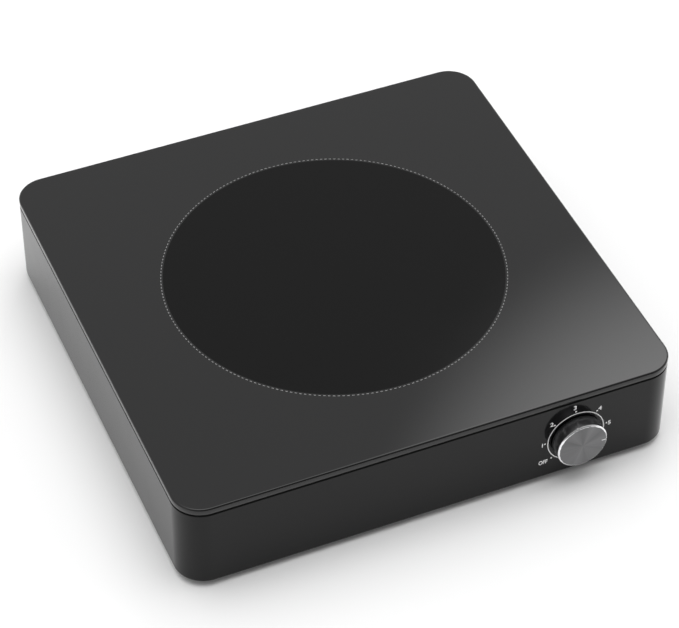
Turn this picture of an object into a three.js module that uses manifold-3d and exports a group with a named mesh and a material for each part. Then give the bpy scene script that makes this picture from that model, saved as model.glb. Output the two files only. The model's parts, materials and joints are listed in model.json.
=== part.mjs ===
// A table-top hot plate with one radiant cooking zone under a glass-ceramic top.
// Millimetres. +Z is up, +X runs to the right along the front, +Y runs to the back.
// The origin is on the surface it stands on, under the middle of the whole object.
import * as THREE from 'three';
import { mergeVertices } from 'three/addons/utils/BufferGeometryUtils.js';
import Module from 'manifold-3d';

const wasm = await Module();
wasm.setup();

// ---- Driving dimensions -------------------------------------------------------------------

// Glass top and housing
const PLATE_WIDTH = 290;
const PLATE_DEPTH = 282;
const TOTAL_HEIGHT = 61;
const CORNER_RADIUS = 17;
const GLASS_THICKNESS = 4;
const GLASS_BEVEL = 0.7;
const GLASS_BOTTOM = TOTAL_HEIGHT - GLASS_THICKNESS;
const HOUSING_INSET = 0.05;
const HOUSING_WIDTH = PLATE_WIDTH - 2 * HOUSING_INSET;
const HOUSING_DEPTH = PLATE_DEPTH - 2 * HOUSING_INSET;
const HOUSING_RADIUS = CORNER_RADIUS - HOUSING_INSET;
const SEAM = 1.1;
const HOUSING_TOP = GLASS_BOTTOM - SEAM;
const SEAL_INSET = 0.05;
const SEAL_WIDTH = 12;
const HOUSING_BOTTOM = 4.8;
const WALL = 1.2;
const FLANGE_WIDTH = 15;
const LIP_WIDTH = 9;
const LIP_BOTTOM = 6.8;
const LIP_TOP = LIP_BOTTOM + WALL;
const INNER_WIDTH = HOUSING_WIDTH - 2 * WALL;
const INNER_DEPTH = HOUSING_DEPTH - 2 * WALL;
const INNER_RADIUS = HOUSING_RADIUS - WALL;
const FRONT_FACE = -HOUSING_DEPTH / 2;
const BACK_FACE = HOUSING_DEPTH / 2;
const BASE_THICKNESS = 1;
const BASE_BOTTOM = LIP_BOTTOM - 0.3 - BASE_THICKNESS;
const BASE_TOP = BASE_BOTTOM + BASE_THICKNESS;
const BASE_CLEARANCE = 0.4;
const VENT_WIDTH = 3;
const VENT_HEIGHT = 16;
const VENT_Z = 33;
const VENT_COUNT = 14;
const VENT_FIRST_X = -98;
const VENT_PITCH = 8;
const AIR_SLOT_LENGTH = 36;
const AIR_SLOT_WIDTH = 3;
const AIR_SLOT_PITCH = 10;
const AIR_SLOT_COUNT = 9;
const AIR_ROWS = [-32, 32];

// Clearances between pieces that touch on the real object
const GAP = 0.3;
const CONTACT = 0.1;

// Feet and screws
const FOOT_X = 112;
const FOOT_Y = 108;
const FOOT_RADIUS = 9;
const FOOT_RECESS = 4.4;
const FOOT_RECESS_DEPTH = 3.4;
const SCREW_HOLE = 1.9;
const SCREW_RADIUS = 1.5;
const FOOT_SCREW_HEAD = 3.5;
const FOOT_SCREW_HEAD_HEIGHT = 2;
const FOOT_SCREW_LENGTH = 5.4;
const SCREW_HEAD = 3.2;
const SCREW_HEAD_HEIGHT = 1.8;
const BASE_SCREW_LENGTH = 4.2;
const STRAP_SCREW_LENGTH = 3;
const BLOCK_SCREW_LENGTH = 6.4;
const EARTH_SCREW_LENGTH = 3.4;
const SIDE_SCREW_Y = 80;
const LIP_CENTRE_X = INNER_WIDTH / 2 - LIP_WIDTH / 2;
const LIP_CENTRE_Y = INNER_DEPTH / 2 - LIP_WIDTH / 2;

// Radiant heater under the glass
const DISH_RADIUS = 99;
const DISH_BOTTOM = 33.5;
const DISH_TOP = 55.6;
const DISH_SHEET = 1;
const INSULATION_TOP = 44;
const RING_INNER = 86;
const RING_TOP = GLASS_BOTTOM - GAP;
const RIBBON_HEIGHT = 5;
const RIBBON_THICKNESS = 0.8;
const RIBBON_SPACING = 12;
const RIBBON_RADIUS = 74;
const TERMINAL_ANGLE = THREE.MathUtils.degToRad(8);
const TERMINAL_INNER = 83;
const TERMINAL_OUTER = 109;
const TERMINAL_WIDTH = 22;
const LIMITER_ANGLE = THREE.MathUtils.degToRad(-30);
const LIMITER_HEIGHT = 52.4;
const LIMITER_RADIUS = 1.8;
const STRAP_WIDTH = 20;
const STRAP_SHEET = 1.5;
const STRAP_RISE = 10;
const STRAP_BOTTOM = LIP_TOP + GAP;
const SPRING_X = 45;
const SPRING_RADIUS = 8;
const SPRING_WIRE = 0.7;
const SPRING_TURNS = 4;
const TAB_SIDE = 5;
const TAB_HEIGHT = 48.5;
const TAB_INNER = RIBBON_RADIUS + 6;
const LIMITER_BOX_START = DISH_RADIUS + 1.3;
const LIMITER_BOX_END = LIMITER_BOX_START + 26;
const LIMITER_BOX_WIDTH = 20;
const LIMITER_BOX_BOTTOM = 43.5;
const LIMITER_BOX_TOP = 56.4;
const LIMITER_BLADE_Z = 50;
const TERMINAL_TOP = 53;

// Control knob and the regulator behind it
const KNOB_X = 84;
const KNOB_Z = 30;
const KNOB_RADIUS = 14.9;
const KNOB_FACE = -150;
const KNOB_SHELL = 1;
const KNOB_CHAMFER = 0.8;
const KNOB_BACK = FRONT_FACE - 0.6;
const KNOB_TRAVEL = 225;
const SHAFT_RADIUS = 3;
const SHAFT_FLAT = 1.6;
const BUSH_RADIUS = 4.9;
const BUSH_FRONT = FRONT_FACE - 3.4;
const CASE_WIDTH = 44;
const CASE_HEIGHT = 40;
const CASE_WALL = 2;
const CASE_FRONT = FRONT_FACE + WALL + 2;
const CASE_BACK = CASE_FRONT + 21.5;
const COVER_BACK = CASE_BACK + 0.2 + CASE_WALL;
const CAM_FRONT = CASE_FRONT + 6.5;
const CAM_BACK = CAM_FRONT + 4;
const CAM_LOW = 7;
const LEVER_REACH = 15;
const LEVER_SWING = 4;
const LEVER_CLEARANCE = 0.35;
const LEVER_DEPTH = 3;
const HUB_FRONT = KNOB_FACE + KNOB_SHELL + CONTACT;
const HUB_BACK = BUSH_FRONT - 0.5;
const SHAFT_END = KNOB_FACE + KNOB_SHELL + 1.4;
const CLIP_SHEET = 0.4;
const COLLAR_FRONT = CASE_FRONT + CASE_WALL + GAP;
const COLLAR_BACK = COLLAR_FRONT + 1.5;
const COLLAR_RADIUS = SHAFT_RADIUS + 1.4;
const TAIL_RADIUS = 2;
const CAM_RISE = LEVER_REACH * Math.tan(THREE.MathUtils.degToRad(LEVER_SWING));
const CAM_HIGH = CAM_LOW + CAM_RISE;
const LEVER_UNDER = KNOB_Z + CAM_HIGH + LEVER_CLEARANCE;
const PIN_X = KNOB_X - LEVER_REACH;
const PIN_Z = LEVER_UNDER + LEVER_DEPTH / 2;
const PIN_RADIUS = 1.2;
const NUT_ACROSS_FLATS = 14;
const NUT_THICKNESS = 2.5;
const BLADE_X = 10;
const BLADE_Z = 8;
const BLADE_WIDTH = 6.3;
const BLADE_SHEET = 0.8;
const BLADE_END = COVER_BACK + 7.5;

// Mains entry
const GLAND_X = 86;
const GLAND_Z = 20;
const GLAND_BORE = 3.75;
const GLAND_SPIGOT = 6;
const GLAND_END = 150;
const GLAND_HEX = 17;
const GLAND_NUT_THICKNESS = 3.2;
const GLAND_CAP_RADIUS = 8.6;
const GLAND_SHOULDER = BACK_FACE + CONTACT;
const GLAND_CAP_START = GLAND_SHOULDER + 3.4;
const GLAND_SPIGOT_REACH = 3.6;
const GLAND_CAP_SEAT = GLAND_CAP_START + GLAND_SPIGOT_REACH + 0.2;
const GLAND_INNER_END = BACK_FACE - 9;
const BLOCK_WIDTH = 32;
const BLOCK_DEPTH = 16;
const BLOCK_Y = 112;
const BLOCK_TOP = 22;
const BLOCK_FRONT = BLOCK_Y - BLOCK_DEPTH / 2;
const BLOCK_ENTRY = 15.5;
const BLOCK_ENTRY_RADIUS = 2.2;
const BLOCK_ENTRY_DEPTH = 6;
const BLOCK_WELL_RADIUS = 2;
const BLOCK_WELL_DEPTH = 4;
const POLE_PITCH = 10;
const WIRE_RADIUS = 1.3;
const SLEEVE_LENGTH = 11;
const SLEEVE_WIDTH = 8;
const SLEEVE_THICKNESS = 3.4;
const SLEEVE_START = BLADE_END - 6.5;
const SLEEVE_STANDOFF = 1.5;
const WIRE_START = SLEEVE_START + SLEEVE_LENGTH - 1;
const EARTH_X = 114;
const EARTH_Y = 84;

// ---- Materials ----------------------------------------------------------------------------

function material(color, roughness, metalness) {
  return new THREE.MeshStandardMaterial({ color, roughness, metalness });
}

const BLACK_GLASS = material(0x101012, 0.05, 0);
const BLACK_ENAMEL = material(0x141416, 0.2, 0.1);
const BRUSHED_ALUMINIUM = material(0xb8b8ba, 0.3, 1);
const BLACK_PLASTIC = material(0x1b1b1d, 0.5, 0);
const BLACK_RUBBER = material(0x202022, 0.85, 0);
const DARK_SILICONE = material(0x1c1c1e, 0.7, 0);
const ZINC_STEEL = material(0xa9acaf, 0.35, 1);
const ALUMINISED_STEEL = material(0xb4b4b0, 0.4, 1);
const FIBRE_BOARD = material(0xe4dfd0, 0.95, 0);
const HEATER_ALLOY = material(0x6d675f, 0.5, 1);
const STEATITE = material(0xe9e2cf, 0.55, 0);
const BROWN_BAKELITE = material(0x3a2418, 0.5, 0);
const BRASS = material(0xc2a14d, 0.3, 1);
const SPRING_STEEL = material(0x8f9296, 0.3, 1);
const CLAMP_PLASTIC = material(0xe6e6e0, 0.5, 0);
const RED_SILICONE = material(0x9c3b30, 0.6, 0);
const BLUE_SILICONE = material(0x2f4f86, 0.6, 0);
const WHITE_SILICONE = material(0xd8d8d2, 0.6, 0);
const GREEN_YELLOW = material(0x8aa32c, 0.6, 0);

// ---- Shape helpers ------------------------------------------------------------------------

// A closed rounded rectangle centred on (x, y), as an outline or as a hole in one.
function roundedRectangle(width, depth, radius, x = 0, y = 0, outline = new THREE.Shape()) {
  const right = x + width / 2;
  const left = x - width / 2;
  const back = y + depth / 2;
  const front = y - depth / 2;
  outline.moveTo(right, front + radius);
  outline.lineTo(right, back - radius);
  outline.absarc(right - radius, back - radius, radius, 0, Math.PI / 2);
  outline.lineTo(left + radius, back);
  outline.absarc(left + radius, back - radius, radius, Math.PI / 2, Math.PI);
  outline.lineTo(left, front + radius);
  outline.absarc(left + radius, front + radius, radius, Math.PI, 1.5 * Math.PI);
  outline.lineTo(right - radius, front);
  outline.absarc(right - radius, front + radius, radius, 1.5 * Math.PI, 2 * Math.PI);
  return outline;
}

// A narrow upright slot with clipped corners, centred on (x, y).
function slotPoints(width, length, x, y) {
  const side = width / 2;
  const end = length / 2;
  const clip = width / 4;
  const corners = [
    [side, -end + clip],
    [side, end - clip],
    [side - clip, end],
    [-side + clip, end],
    [-side, end - clip],
    [-side, -end + clip],
    [-side + clip, -end],
    [side - clip, -end],
  ];
  return corners.map(([px, py]) => new THREE.Vector2(x + px, y + py));
}

function polygon(points) {
  return new THREE.Shape(points.map(([x, y]) => new THREE.Vector2(x, y)));
}

// Points on a circle; the first one is at the given angle.
function circlePoints(radius, count, x = 0, y = 0, start = 0) {
  const points = [];
  for (let i = 0; i < count; i += 1) {
    const angle = start + (2 * Math.PI * i) / count;
    points.push([x + radius * Math.cos(angle), y + radius * Math.sin(angle)]);
  }
  return points;
}

function circle(radius, count, x = 0, y = 0, start = 0) {
  return polygon(circlePoints(radius, count, x, y, start));
}

// An upright prism between two heights.
function prism(outline, bottom, top, curveSegments = 4) {
  const options = { depth: top - bottom, bevelEnabled: false, curveSegments };
  return new THREE.ExtrudeGeometry(outline, options).translate(0, 0, bottom);
}

// A prism along +Y: the outline's x stays x and its y becomes height.
function prismAlongY(outline, front, back, curveSegments = 4) {
  const options = { depth: back - front, bevelEnabled: false, curveSegments };
  const geometry = new THREE.ExtrudeGeometry(outline, options);
  return geometry.rotateX(Math.PI / 2).translate(0, back, 0);
}

function block(x0, x1, y0, y1, z0, z1) {
  const geometry = new THREE.BoxGeometry(x1 - x0, y1 - y0, z1 - z0);
  return geometry.translate((x0 + x1) / 2, (y0 + y1) / 2, (z0 + z1) / 2);
}

// A body of revolution about Z. The profile is [radius, height] pairs, counter-clockwise.
function turned(profile, segments) {
  const points = profile.map(([radius, height]) => new THREE.Vector2(radius, height));
  return new THREE.LatheGeometry(points, segments).rotateX(Math.PI / 2);
}

// The same about an axis along Y, where the profile's second value is y.
function turnedAlongY(profile, segments, x, z) {
  const points = profile.map(([radius, y]) => new THREE.Vector2(radius, y));
  return new THREE.LatheGeometry(points, segments).translate(x, 0, z);
}

// A round bar that follows a list of points smoothly.
function tube(points, radius, steps, sides) {
  const curve = new THREE.CatmullRomCurve3(points.map((p) => new THREE.Vector3(...p)));
  const options = { steps, bevelEnabled: false, extrudePath: curve };
  return new THREE.ExtrudeGeometry(circle(radius, sides), options);
}

// ---- Joining and cutting ------------------------------------------------------------------

function toSolid(geometry) {
  const bare = geometry.clone();
  bare.deleteAttribute('normal');
  bare.deleteAttribute('uv');
  const merged = mergeVertices(bare, 1e-4);
  const kept = [];
  const index = merged.index.array;
  for (let i = 0; i < index.length; i += 3) {
    const [a, b, c] = [index[i], index[i + 1], index[i + 2]];
    if (a !== b && b !== c && c !== a) {
      kept.push(a, b, c);
    }
  }
  const mesh = new wasm.Mesh({
    numProp: 3,
    vertProperties: new Float32Array(merged.attributes.position.array),
    triVerts: new Uint32Array(kept),
  });
  return new wasm.Manifold(mesh);
}

function fromSolid(solid) {
  const mesh = solid.getMesh();
  const geometry = new THREE.BufferGeometry();
  geometry.setAttribute('position', new THREE.BufferAttribute(mesh.vertProperties, 3));
  geometry.setIndex(new THREE.BufferAttribute(mesh.triVerts, 1));
  geometry.computeVertexNormals();
  return geometry;
}

// The first geometry with the added ones joined on and the cutters taken away.
function shaped(base, { add = [], cut = [] }) {
  let solid = toSolid(base);
  for (const extra of add) {
    solid = solid.add(toSolid(extra));
  }
  for (const cutter of cut) {
    solid = solid.subtract(toSolid(cutter));
  }
  return fromSolid(solid);
}

// ---- Placing ------------------------------------------------------------------------------

const hotPlate = new THREE.Group();

function piece(name, geometry, finish, parent = hotPlate) {
  const mesh = new THREE.Mesh(geometry, finish);
  mesh.name = name;
  parent.add(mesh);
  return mesh;
}

// The point at a radius from the zone's centre, moved sideways, at a height.
function zonePoint(angle, radius, side, height) {
  const x = radius * Math.cos(angle) - side * Math.sin(angle);
  const y = radius * Math.sin(angle) + side * Math.cos(angle);
  return [x, y, height];
}

// ---- Glass top, seal, housing, base -------------------------------------------------------

function glassPlate() {
  const outline = roundedRectangle(PLATE_WIDTH, PLATE_DEPTH, CORNER_RADIUS);
  const geometry = new THREE.ExtrudeGeometry(outline, {
    depth: GLASS_THICKNESS - 2 * GLASS_BEVEL,
    bevelThickness: GLASS_BEVEL,
    bevelSize: GLASS_BEVEL,
    bevelOffset: -GLASS_BEVEL,
    bevelSegments: 2,
    curveSegments: 5,
  });
  return geometry.translate(0, 0, GLASS_BOTTOM + GLASS_BEVEL);
}

// The bead of silicone that bonds the glass to the housing's flange.
function glassSeal() {
  const outline = roundedRectangle(
    HOUSING_WIDTH - 2 * SEAL_INSET,
    HOUSING_DEPTH - 2 * SEAL_INSET,
    HOUSING_RADIUS - SEAL_INSET,
  );
  const inside = SEAL_INSET + SEAL_WIDTH;
  outline.holes.push(roundedRectangle(
    HOUSING_WIDTH - 2 * inside,
    HOUSING_DEPTH - 2 * inside,
    HOUSING_RADIUS - inside,
    0,
    0,
    new THREE.Path(),
  ));
  return prism(outline, HOUSING_TOP + CONTACT, GLASS_BOTTOM - CONTACT);
}

// Cooling slots in the back wall, left of the cord entry.
function backVents() {
  const slots = [];
  for (let i = 0; i < VENT_COUNT; i += 1) {
    const x = VENT_FIRST_X + i * VENT_PITCH;
    const slot = new THREE.Shape(slotPoints(VENT_WIDTH, VENT_HEIGHT, x, VENT_Z));
    slots.push(prismAlongY(slot, BACK_FACE - 3, BACK_FACE + 1));
  }
  return slots;
}

function lipScrewPlaces() {
  return [
    [-LIP_CENTRE_X, -SIDE_SCREW_Y],
    [LIP_CENTRE_X, -SIDE_SCREW_Y],
    [-LIP_CENTRE_X, SIDE_SCREW_Y],
    [LIP_CENTRE_X, SIDE_SCREW_Y],
    [0, -LIP_CENTRE_Y],
    [0, LIP_CENTRE_Y],
  ];
}

function strapScrewPlaces() {
  return [
    [-LIP_CENTRE_X, 0],
    [LIP_CENTRE_X, 0],
  ];
}

// Deep-drawn shell: four walls, a flange at the top for the glass, a lip at the bottom.
function housing() {
  const inside = (margin) => roundedRectangle(
    INNER_WIDTH - 2 * margin,
    INNER_DEPTH - 2 * margin,
    Math.max(INNER_RADIUS - margin, 4),
  );
  const outer = prism(
    roundedRectangle(HOUSING_WIDTH, HOUSING_DEPTH, HOUSING_RADIUS),
    HOUSING_BOTTOM,
    HOUSING_TOP,
  );
  const cut = [
    prism(inside(0), LIP_TOP, HOUSING_TOP - WALL),
    prism(inside(0), HOUSING_BOTTOM - 1, LIP_BOTTOM),
    prism(inside(LIP_WIDTH), HOUSING_BOTTOM, LIP_TOP + 1),
    prism(inside(FLANGE_WIDTH), HOUSING_TOP - 2 * WALL, HOUSING_TOP + 1),
    prismAlongY(circle(BUSH_RADIUS + GAP, 24, KNOB_X, KNOB_Z), FRONT_FACE - 1, FRONT_FACE + 3),
    prismAlongY(circle(GLAND_SPIGOT + GAP, 24, GLAND_X, GLAND_Z), BACK_FACE - 3, BACK_FACE + 1),
  ];
  for (const [x, y] of [...lipScrewPlaces(), ...strapScrewPlaces()]) {
    cut.push(prism(circle(SCREW_HOLE, 12, x, y), LIP_BOTTOM - 1, LIP_TOP + 1));
  }
  cut.push(...backVents());
  return shaped(outer, { cut });
}

function hole(radius, x, y, sides = 12) {
  const points = circlePoints(radius, sides, x, y).map(([px, py]) => new THREE.Vector2(px, py));
  return new THREE.Path(points);
}

// Pressed sheet under the housing, with two rows of air slots under the heater.
function baseCover() {
  const outline = roundedRectangle(
    INNER_WIDTH - 2 * BASE_CLEARANCE,
    INNER_DEPTH - 2 * BASE_CLEARANCE,
    INNER_RADIUS - BASE_CLEARANCE,
  );
  for (const [x, y] of lipScrewPlaces()) {
    outline.holes.push(hole(SCREW_HOLE, x, y));
  }
  for (const [x, y] of footPlaces()) {
    outline.holes.push(hole(SCREW_HOLE, x, y));
  }
  outline.holes.push(hole(SCREW_HOLE, GLAND_X, BLOCK_Y));
  outline.holes.push(hole(SCREW_HOLE, EARTH_X, EARTH_Y));
  for (const y of AIR_ROWS) {
    for (let i = 0; i < AIR_SLOT_COUNT; i += 1) {
      const x = (i - (AIR_SLOT_COUNT - 1) / 2) * AIR_SLOT_PITCH;
      outline.holes.push(new THREE.Path(slotPoints(AIR_SLOT_WIDTH, AIR_SLOT_LENGTH, x, y)));
    }
  }
  return prism(outline, BASE_BOTTOM, BASE_TOP, 3);
}

// ---- Feet and fasteners -------------------------------------------------------------------

function footPlaces() {
  return [
    [-FOOT_X, -FOOT_Y],
    [FOOT_X, -FOOT_Y],
    [-FOOT_X, FOOT_Y],
    [FOOT_X, FOOT_Y],
  ];
}

// Rubber foot, open below so that the screw's head sits inside it.
function foot() {
  const top = BASE_BOTTOM - CONTACT;
  return turned([
    [FOOT_RECESS, 0],
    [FOOT_RADIUS - 1.4, 0],
    [FOOT_RADIUS - 0.7, 0.7],
    [FOOT_RADIUS, top],
    [SCREW_HOLE, top],
    [SCREW_HOLE, FOOT_RECESS_DEPTH],
    [FOOT_RECESS, FOOT_RECESS_DEPTH],
    [FOOT_RECESS, 0],
  ], 20);
}

// A pan-head screw about Z with the underside of its head at height 0 and its tip above.
function panScrew(headRadius, headHeight, length) {
  return turned([
    [0, -headHeight],
    [headRadius * 0.72, -headHeight],
    [headRadius, -headHeight * 0.55],
    [headRadius, 0],
    [SCREW_RADIUS, 0],
    [SCREW_RADIUS, length - 1],
    [0, length],
  ], 12);
}

function addFeetAndBaseScrews() {
  const corner = ['front_left', 'front_right', 'back_left', 'back_right'];
  footPlaces().forEach(([x, y], i) => {
    piece(`foot_${corner[i]}`, foot(), BLACK_RUBBER).position.set(x, y, 0);
    const geometry = panScrew(FOOT_SCREW_HEAD, FOOT_SCREW_HEAD_HEIGHT, FOOT_SCREW_LENGTH);
    const screw = piece(`foot_screw_${corner[i]}`, geometry, ZINC_STEEL);
    screw.position.set(x, y, FOOT_RECESS_DEPTH - CONTACT);
  });
  lipScrewPlaces().forEach(([x, y], i) => {
    const geometry = panScrew(SCREW_HEAD, SCREW_HEAD_HEIGHT, BASE_SCREW_LENGTH);
    const screw = piece(`base_screw_${i + 1}`, geometry, ZINC_STEEL);
    screw.position.set(x, y, BASE_BOTTOM - CONTACT);
  });
}

// ---- Heater -------------------------------------------------------------------------------

function limiterBore(radius, from, to) {
  const bore = new THREE.CylinderGeometry(radius, radius, to - from, 12);
  bore.rotateZ(Math.PI / 2);
  bore.translate((from + to) / 2, 0, LIMITER_HEIGHT);
  return bore.rotateZ(LIMITER_ANGLE);
}

function terminalWindow() {
  const half = TERMINAL_WIDTH / 2 + GAP;
  const window = block(TERMINAL_INNER - 1, TERMINAL_OUTER, -half, half, INSULATION_TOP, RING_TOP + 1);
  return window.rotateZ(TERMINAL_ANGLE);
}

// Sheet-metal dish that holds the insulation, with its mouth up against the glass.
function heaterDish() {
  const dish = turned([
    [0, DISH_BOTTOM],
    [DISH_RADIUS - 3, DISH_BOTTOM],
    [DISH_RADIUS, DISH_BOTTOM + 3],
    [DISH_RADIUS, DISH_TOP],
    [DISH_RADIUS - DISH_SHEET, DISH_TOP],
    [DISH_RADIUS - DISH_SHEET, DISH_BOTTOM + 3.4],
    [DISH_RADIUS - 3.4, DISH_BOTTOM + DISH_SHEET],
    [0, DISH_BOTTOM + DISH_SHEET],
  ], 40);
  return shaped(dish, { cut: [terminalWindow(), limiterBore(LIMITER_RADIUS + GAP, 90, 110)] });
}

function insulationBase() {
  const radius = DISH_RADIUS - DISH_SHEET - GAP;
  const bottom = DISH_BOTTOM + DISH_SHEET + GAP;
  return turned([
    [0, bottom],
    [radius - 3, bottom],
    [radius, bottom + 3],
    [radius, INSULATION_TOP],
    [0, INSULATION_TOP],
  ], 40);
}

function insulationRing() {
  const outer = DISH_RADIUS - DISH_SHEET - GAP;
  const bottom = INSULATION_TOP + CONTACT;
  const ring = turned([
    [RING_INNER, bottom],
    [outer, bottom],
    [outer, RING_TOP],
    [RING_INNER + 2, RING_TOP],
    [RING_INNER, RING_TOP - 4],
    [RING_INNER, bottom],
  ], 40);
  const window = terminalWindow();
  return shaped(ring, {
    cut: [
      window,
      limiterBore(LIMITER_RADIUS + GAP, 80, 110),
      limiterBore(LIMITER_RADIUS + GAP, -94, -80),
    ],
  });
}

// Two spiral arms of one strip that meet at the centre; both ends run out side by side.
function heatingRibbon() {
  const growth = RIBBON_SPACING / Math.PI;
  const inner = 1.3;
  const step = Math.PI / 8;
  const armTurn = RIBBON_RADIUS / growth;
  const spread = TAB_SIDE / RIBBON_RADIUS;
  const firstArm = [];
  const secondArm = [];
  for (let turn = armTurn; turn > inner; turn -= step) {
    const angle = TERMINAL_ANGLE - spread + turn - armTurn;
    firstArm.push([growth * turn * Math.cos(angle), growth * turn * Math.sin(angle), 0]);
  }
  const secondEnd = armTurn - Math.PI + 2 * spread;
  for (let turn = secondEnd; turn > inner; turn -= step) {
    const angle = TERMINAL_ANGLE + spread + turn - secondEnd;
    secondArm.push([growth * turn * Math.cos(angle), growth * turn * Math.sin(angle), 0]);
  }
  const path = [
    zonePoint(TERMINAL_ANGLE, TAB_INNER, -TAB_SIDE, 0),
    ...firstArm,
    ...secondArm.reverse(),
    zonePoint(TERMINAL_ANGLE, RIBBON_RADIUS - 4, TAB_SIDE, 0),
    zonePoint(TERMINAL_ANGLE, TAB_INNER, TAB_SIDE, 0),
  ];
  const curve = new THREE.CatmullRomCurve3(path.map((p) => new THREE.Vector3(...p)), false, 'chordal');
  const half = RIBBON_HEIGHT / 2;
  const strip = polygon([
    [-half, -RIBBON_THICKNESS / 2],
    [half, -RIBBON_THICKNESS / 2],
    [half, RIBBON_THICKNESS / 2],
    [-half, RIBBON_THICKNESS / 2],
  ]);
  const steps = Math.round(path.length * 1.1);
  const geometry = new THREE.ExtrudeGeometry(strip, { steps, bevelEnabled: false, extrudePath: curve });
  return geometry.translate(0, 0, INSULATION_TOP + GAP + half);
}

function heaterTerminalBlock() {
  const half = TERMINAL_WIDTH / 2;
  const body = block(
    TERMINAL_INNER,
    TERMINAL_OUTER,
    -half,
    half,
    INSULATION_TOP + GAP,
    TERMINAL_TOP,
  );
  const cut = [-TAB_SIDE, TAB_SIDE].map((side) => block(
    TERMINAL_INNER - 1,
    TERMINAL_OUTER + 1,
    side - BLADE_WIDTH / 2 - GAP,
    side + BLADE_WIDTH / 2 + GAP,
    TAB_HEIGHT - BLADE_SHEET / 2 - GAP,
    TAB_HEIGHT + BLADE_SHEET / 2 + GAP,
  ));
  return shaped(body, { cut }).rotateZ(TERMINAL_ANGLE);
}

function heaterTab(side) {
  return block(
    TAB_INNER + GAP,
    TERMINAL_OUTER + 8,
    side - BLADE_WIDTH / 2,
    side + BLADE_WIDTH / 2,
    TAB_HEIGHT - BLADE_SHEET / 2,
    TAB_HEIGHT + BLADE_SHEET / 2,
  ).rotateZ(TERMINAL_ANGLE);
}

// Ceramic head of the temperature limiter, with two blades at its far end.
function limiterHead() {
  const body = block(
    LIMITER_BOX_START,
    LIMITER_BOX_END,
    -LIMITER_BOX_WIDTH / 2,
    LIMITER_BOX_WIDTH / 2,
    LIMITER_BOX_BOTTOM,
    LIMITER_BOX_TOP,
  );
  const blades = [-TAB_SIDE, TAB_SIDE].map((side) => block(
    LIMITER_BOX_END - 1,
    LIMITER_BOX_END + 8,
    side - BLADE_SHEET / 2,
    side + BLADE_SHEET / 2,
    LIMITER_BLADE_Z - BLADE_WIDTH / 2,
    LIMITER_BLADE_Z + BLADE_WIDTH / 2,
  ));
  for (const blade of [body, ...blades]) {
    blade.rotateZ(LIMITER_ANGLE);
  }
  const seat = limiterBore(LIMITER_RADIUS + GAP, LIMITER_BOX_START - 1, LIMITER_BOX_START + 6);
  return shaped(body, { add: blades, cut: [seat] });
}

function limiterRod() {
  return limiterBore(LIMITER_RADIUS, -93, LIMITER_BOX_START + 5);
}

// Bridge across the housing that carries the springs under the dish.
function heaterStrap() {
  const end = INNER_WIDTH / 2 - 1.5;
  const foot = 80;
  const shelf = 62;
  const low = STRAP_BOTTOM;
  const high = STRAP_BOTTOM + STRAP_RISE;
  const outline = polygon([
    [-end, low],
    [-foot, low],
    [-shelf, high],
    [shelf, high],
    [foot, low],
    [end, low],
    [end, low + STRAP_SHEET],
    [foot - 0.6, low + STRAP_SHEET],
    [shelf - 0.6, high + STRAP_SHEET],
    [-shelf + 0.6, high + STRAP_SHEET],
    [-foot + 0.6, low + STRAP_SHEET],
    [-end, low + STRAP_SHEET],
  ]);
  const strap = prismAlongY(outline, -STRAP_WIDTH / 2, STRAP_WIDTH / 2);
  const cut = strapScrewPlaces().map(([x, y]) => (
    prism(circle(SCREW_HOLE, 12, x, y), low - 1, low + STRAP_SHEET + 1)
  ));
  return shaped(strap, { cut });
}

function heaterSpring() {
  const bottom = STRAP_BOTTOM + STRAP_RISE + STRAP_SHEET + GAP + SPRING_WIRE;
  const top = DISH_BOTTOM - GAP - SPRING_WIRE;
  const perTurn = 10;
  const points = [];
  for (let i = 0; i <= SPRING_TURNS * perTurn; i += 1) {
    const share = i / (SPRING_TURNS * perTurn);
    const angle = 2 * Math.PI * SPRING_TURNS * share;
    const height = bottom + (top - bottom) * share;
    points.push([SPRING_RADIUS * Math.cos(angle), SPRING_RADIUS * Math.sin(angle), height]);
  }
  return tube(points, SPRING_WIRE, SPRING_TURNS * perTurn, 5);
}

function addHeater() {
  piece('heater_dish', heaterDish(), ALUMINISED_STEEL);
  piece('insulation_base', insulationBase(), FIBRE_BOARD);
  piece('insulation_ring', insulationRing(), FIBRE_BOARD);
  piece('heating_ribbon', heatingRibbon(), HEATER_ALLOY);
  piece('heater_terminal_block', heaterTerminalBlock(), STEATITE);
  piece('heater_tab_front', heaterTab(-TAB_SIDE), ZINC_STEEL);
  piece('heater_tab_back', heaterTab(TAB_SIDE), ZINC_STEEL);
  piece('limiter_rod', limiterRod(), STEATITE);
  piece('limiter_head', limiterHead(), STEATITE);
  piece('heater_strap', heaterStrap(), ZINC_STEEL);
  piece('heater_spring_left', heaterSpring(), SPRING_STEEL).position.x = -SPRING_X;
  piece('heater_spring_right', heaterSpring(), SPRING_STEEL).position.x = SPRING_X;
  strapScrewPlaces().forEach(([x, y], i) => {
    const geometry = panScrew(SCREW_HEAD, SCREW_HEAD_HEIGHT, STRAP_SCREW_LENGTH);
    const screw = piece(`strap_screw_${i === 0 ? 'left' : 'right'}`, geometry, ZINC_STEEL);
    screw.rotation.x = Math.PI;
    screw.position.set(x, y, STRAP_BOTTOM + STRAP_SHEET + CONTACT);
  });
}

// ---- Knob ---------------------------------------------------------------------------------

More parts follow.
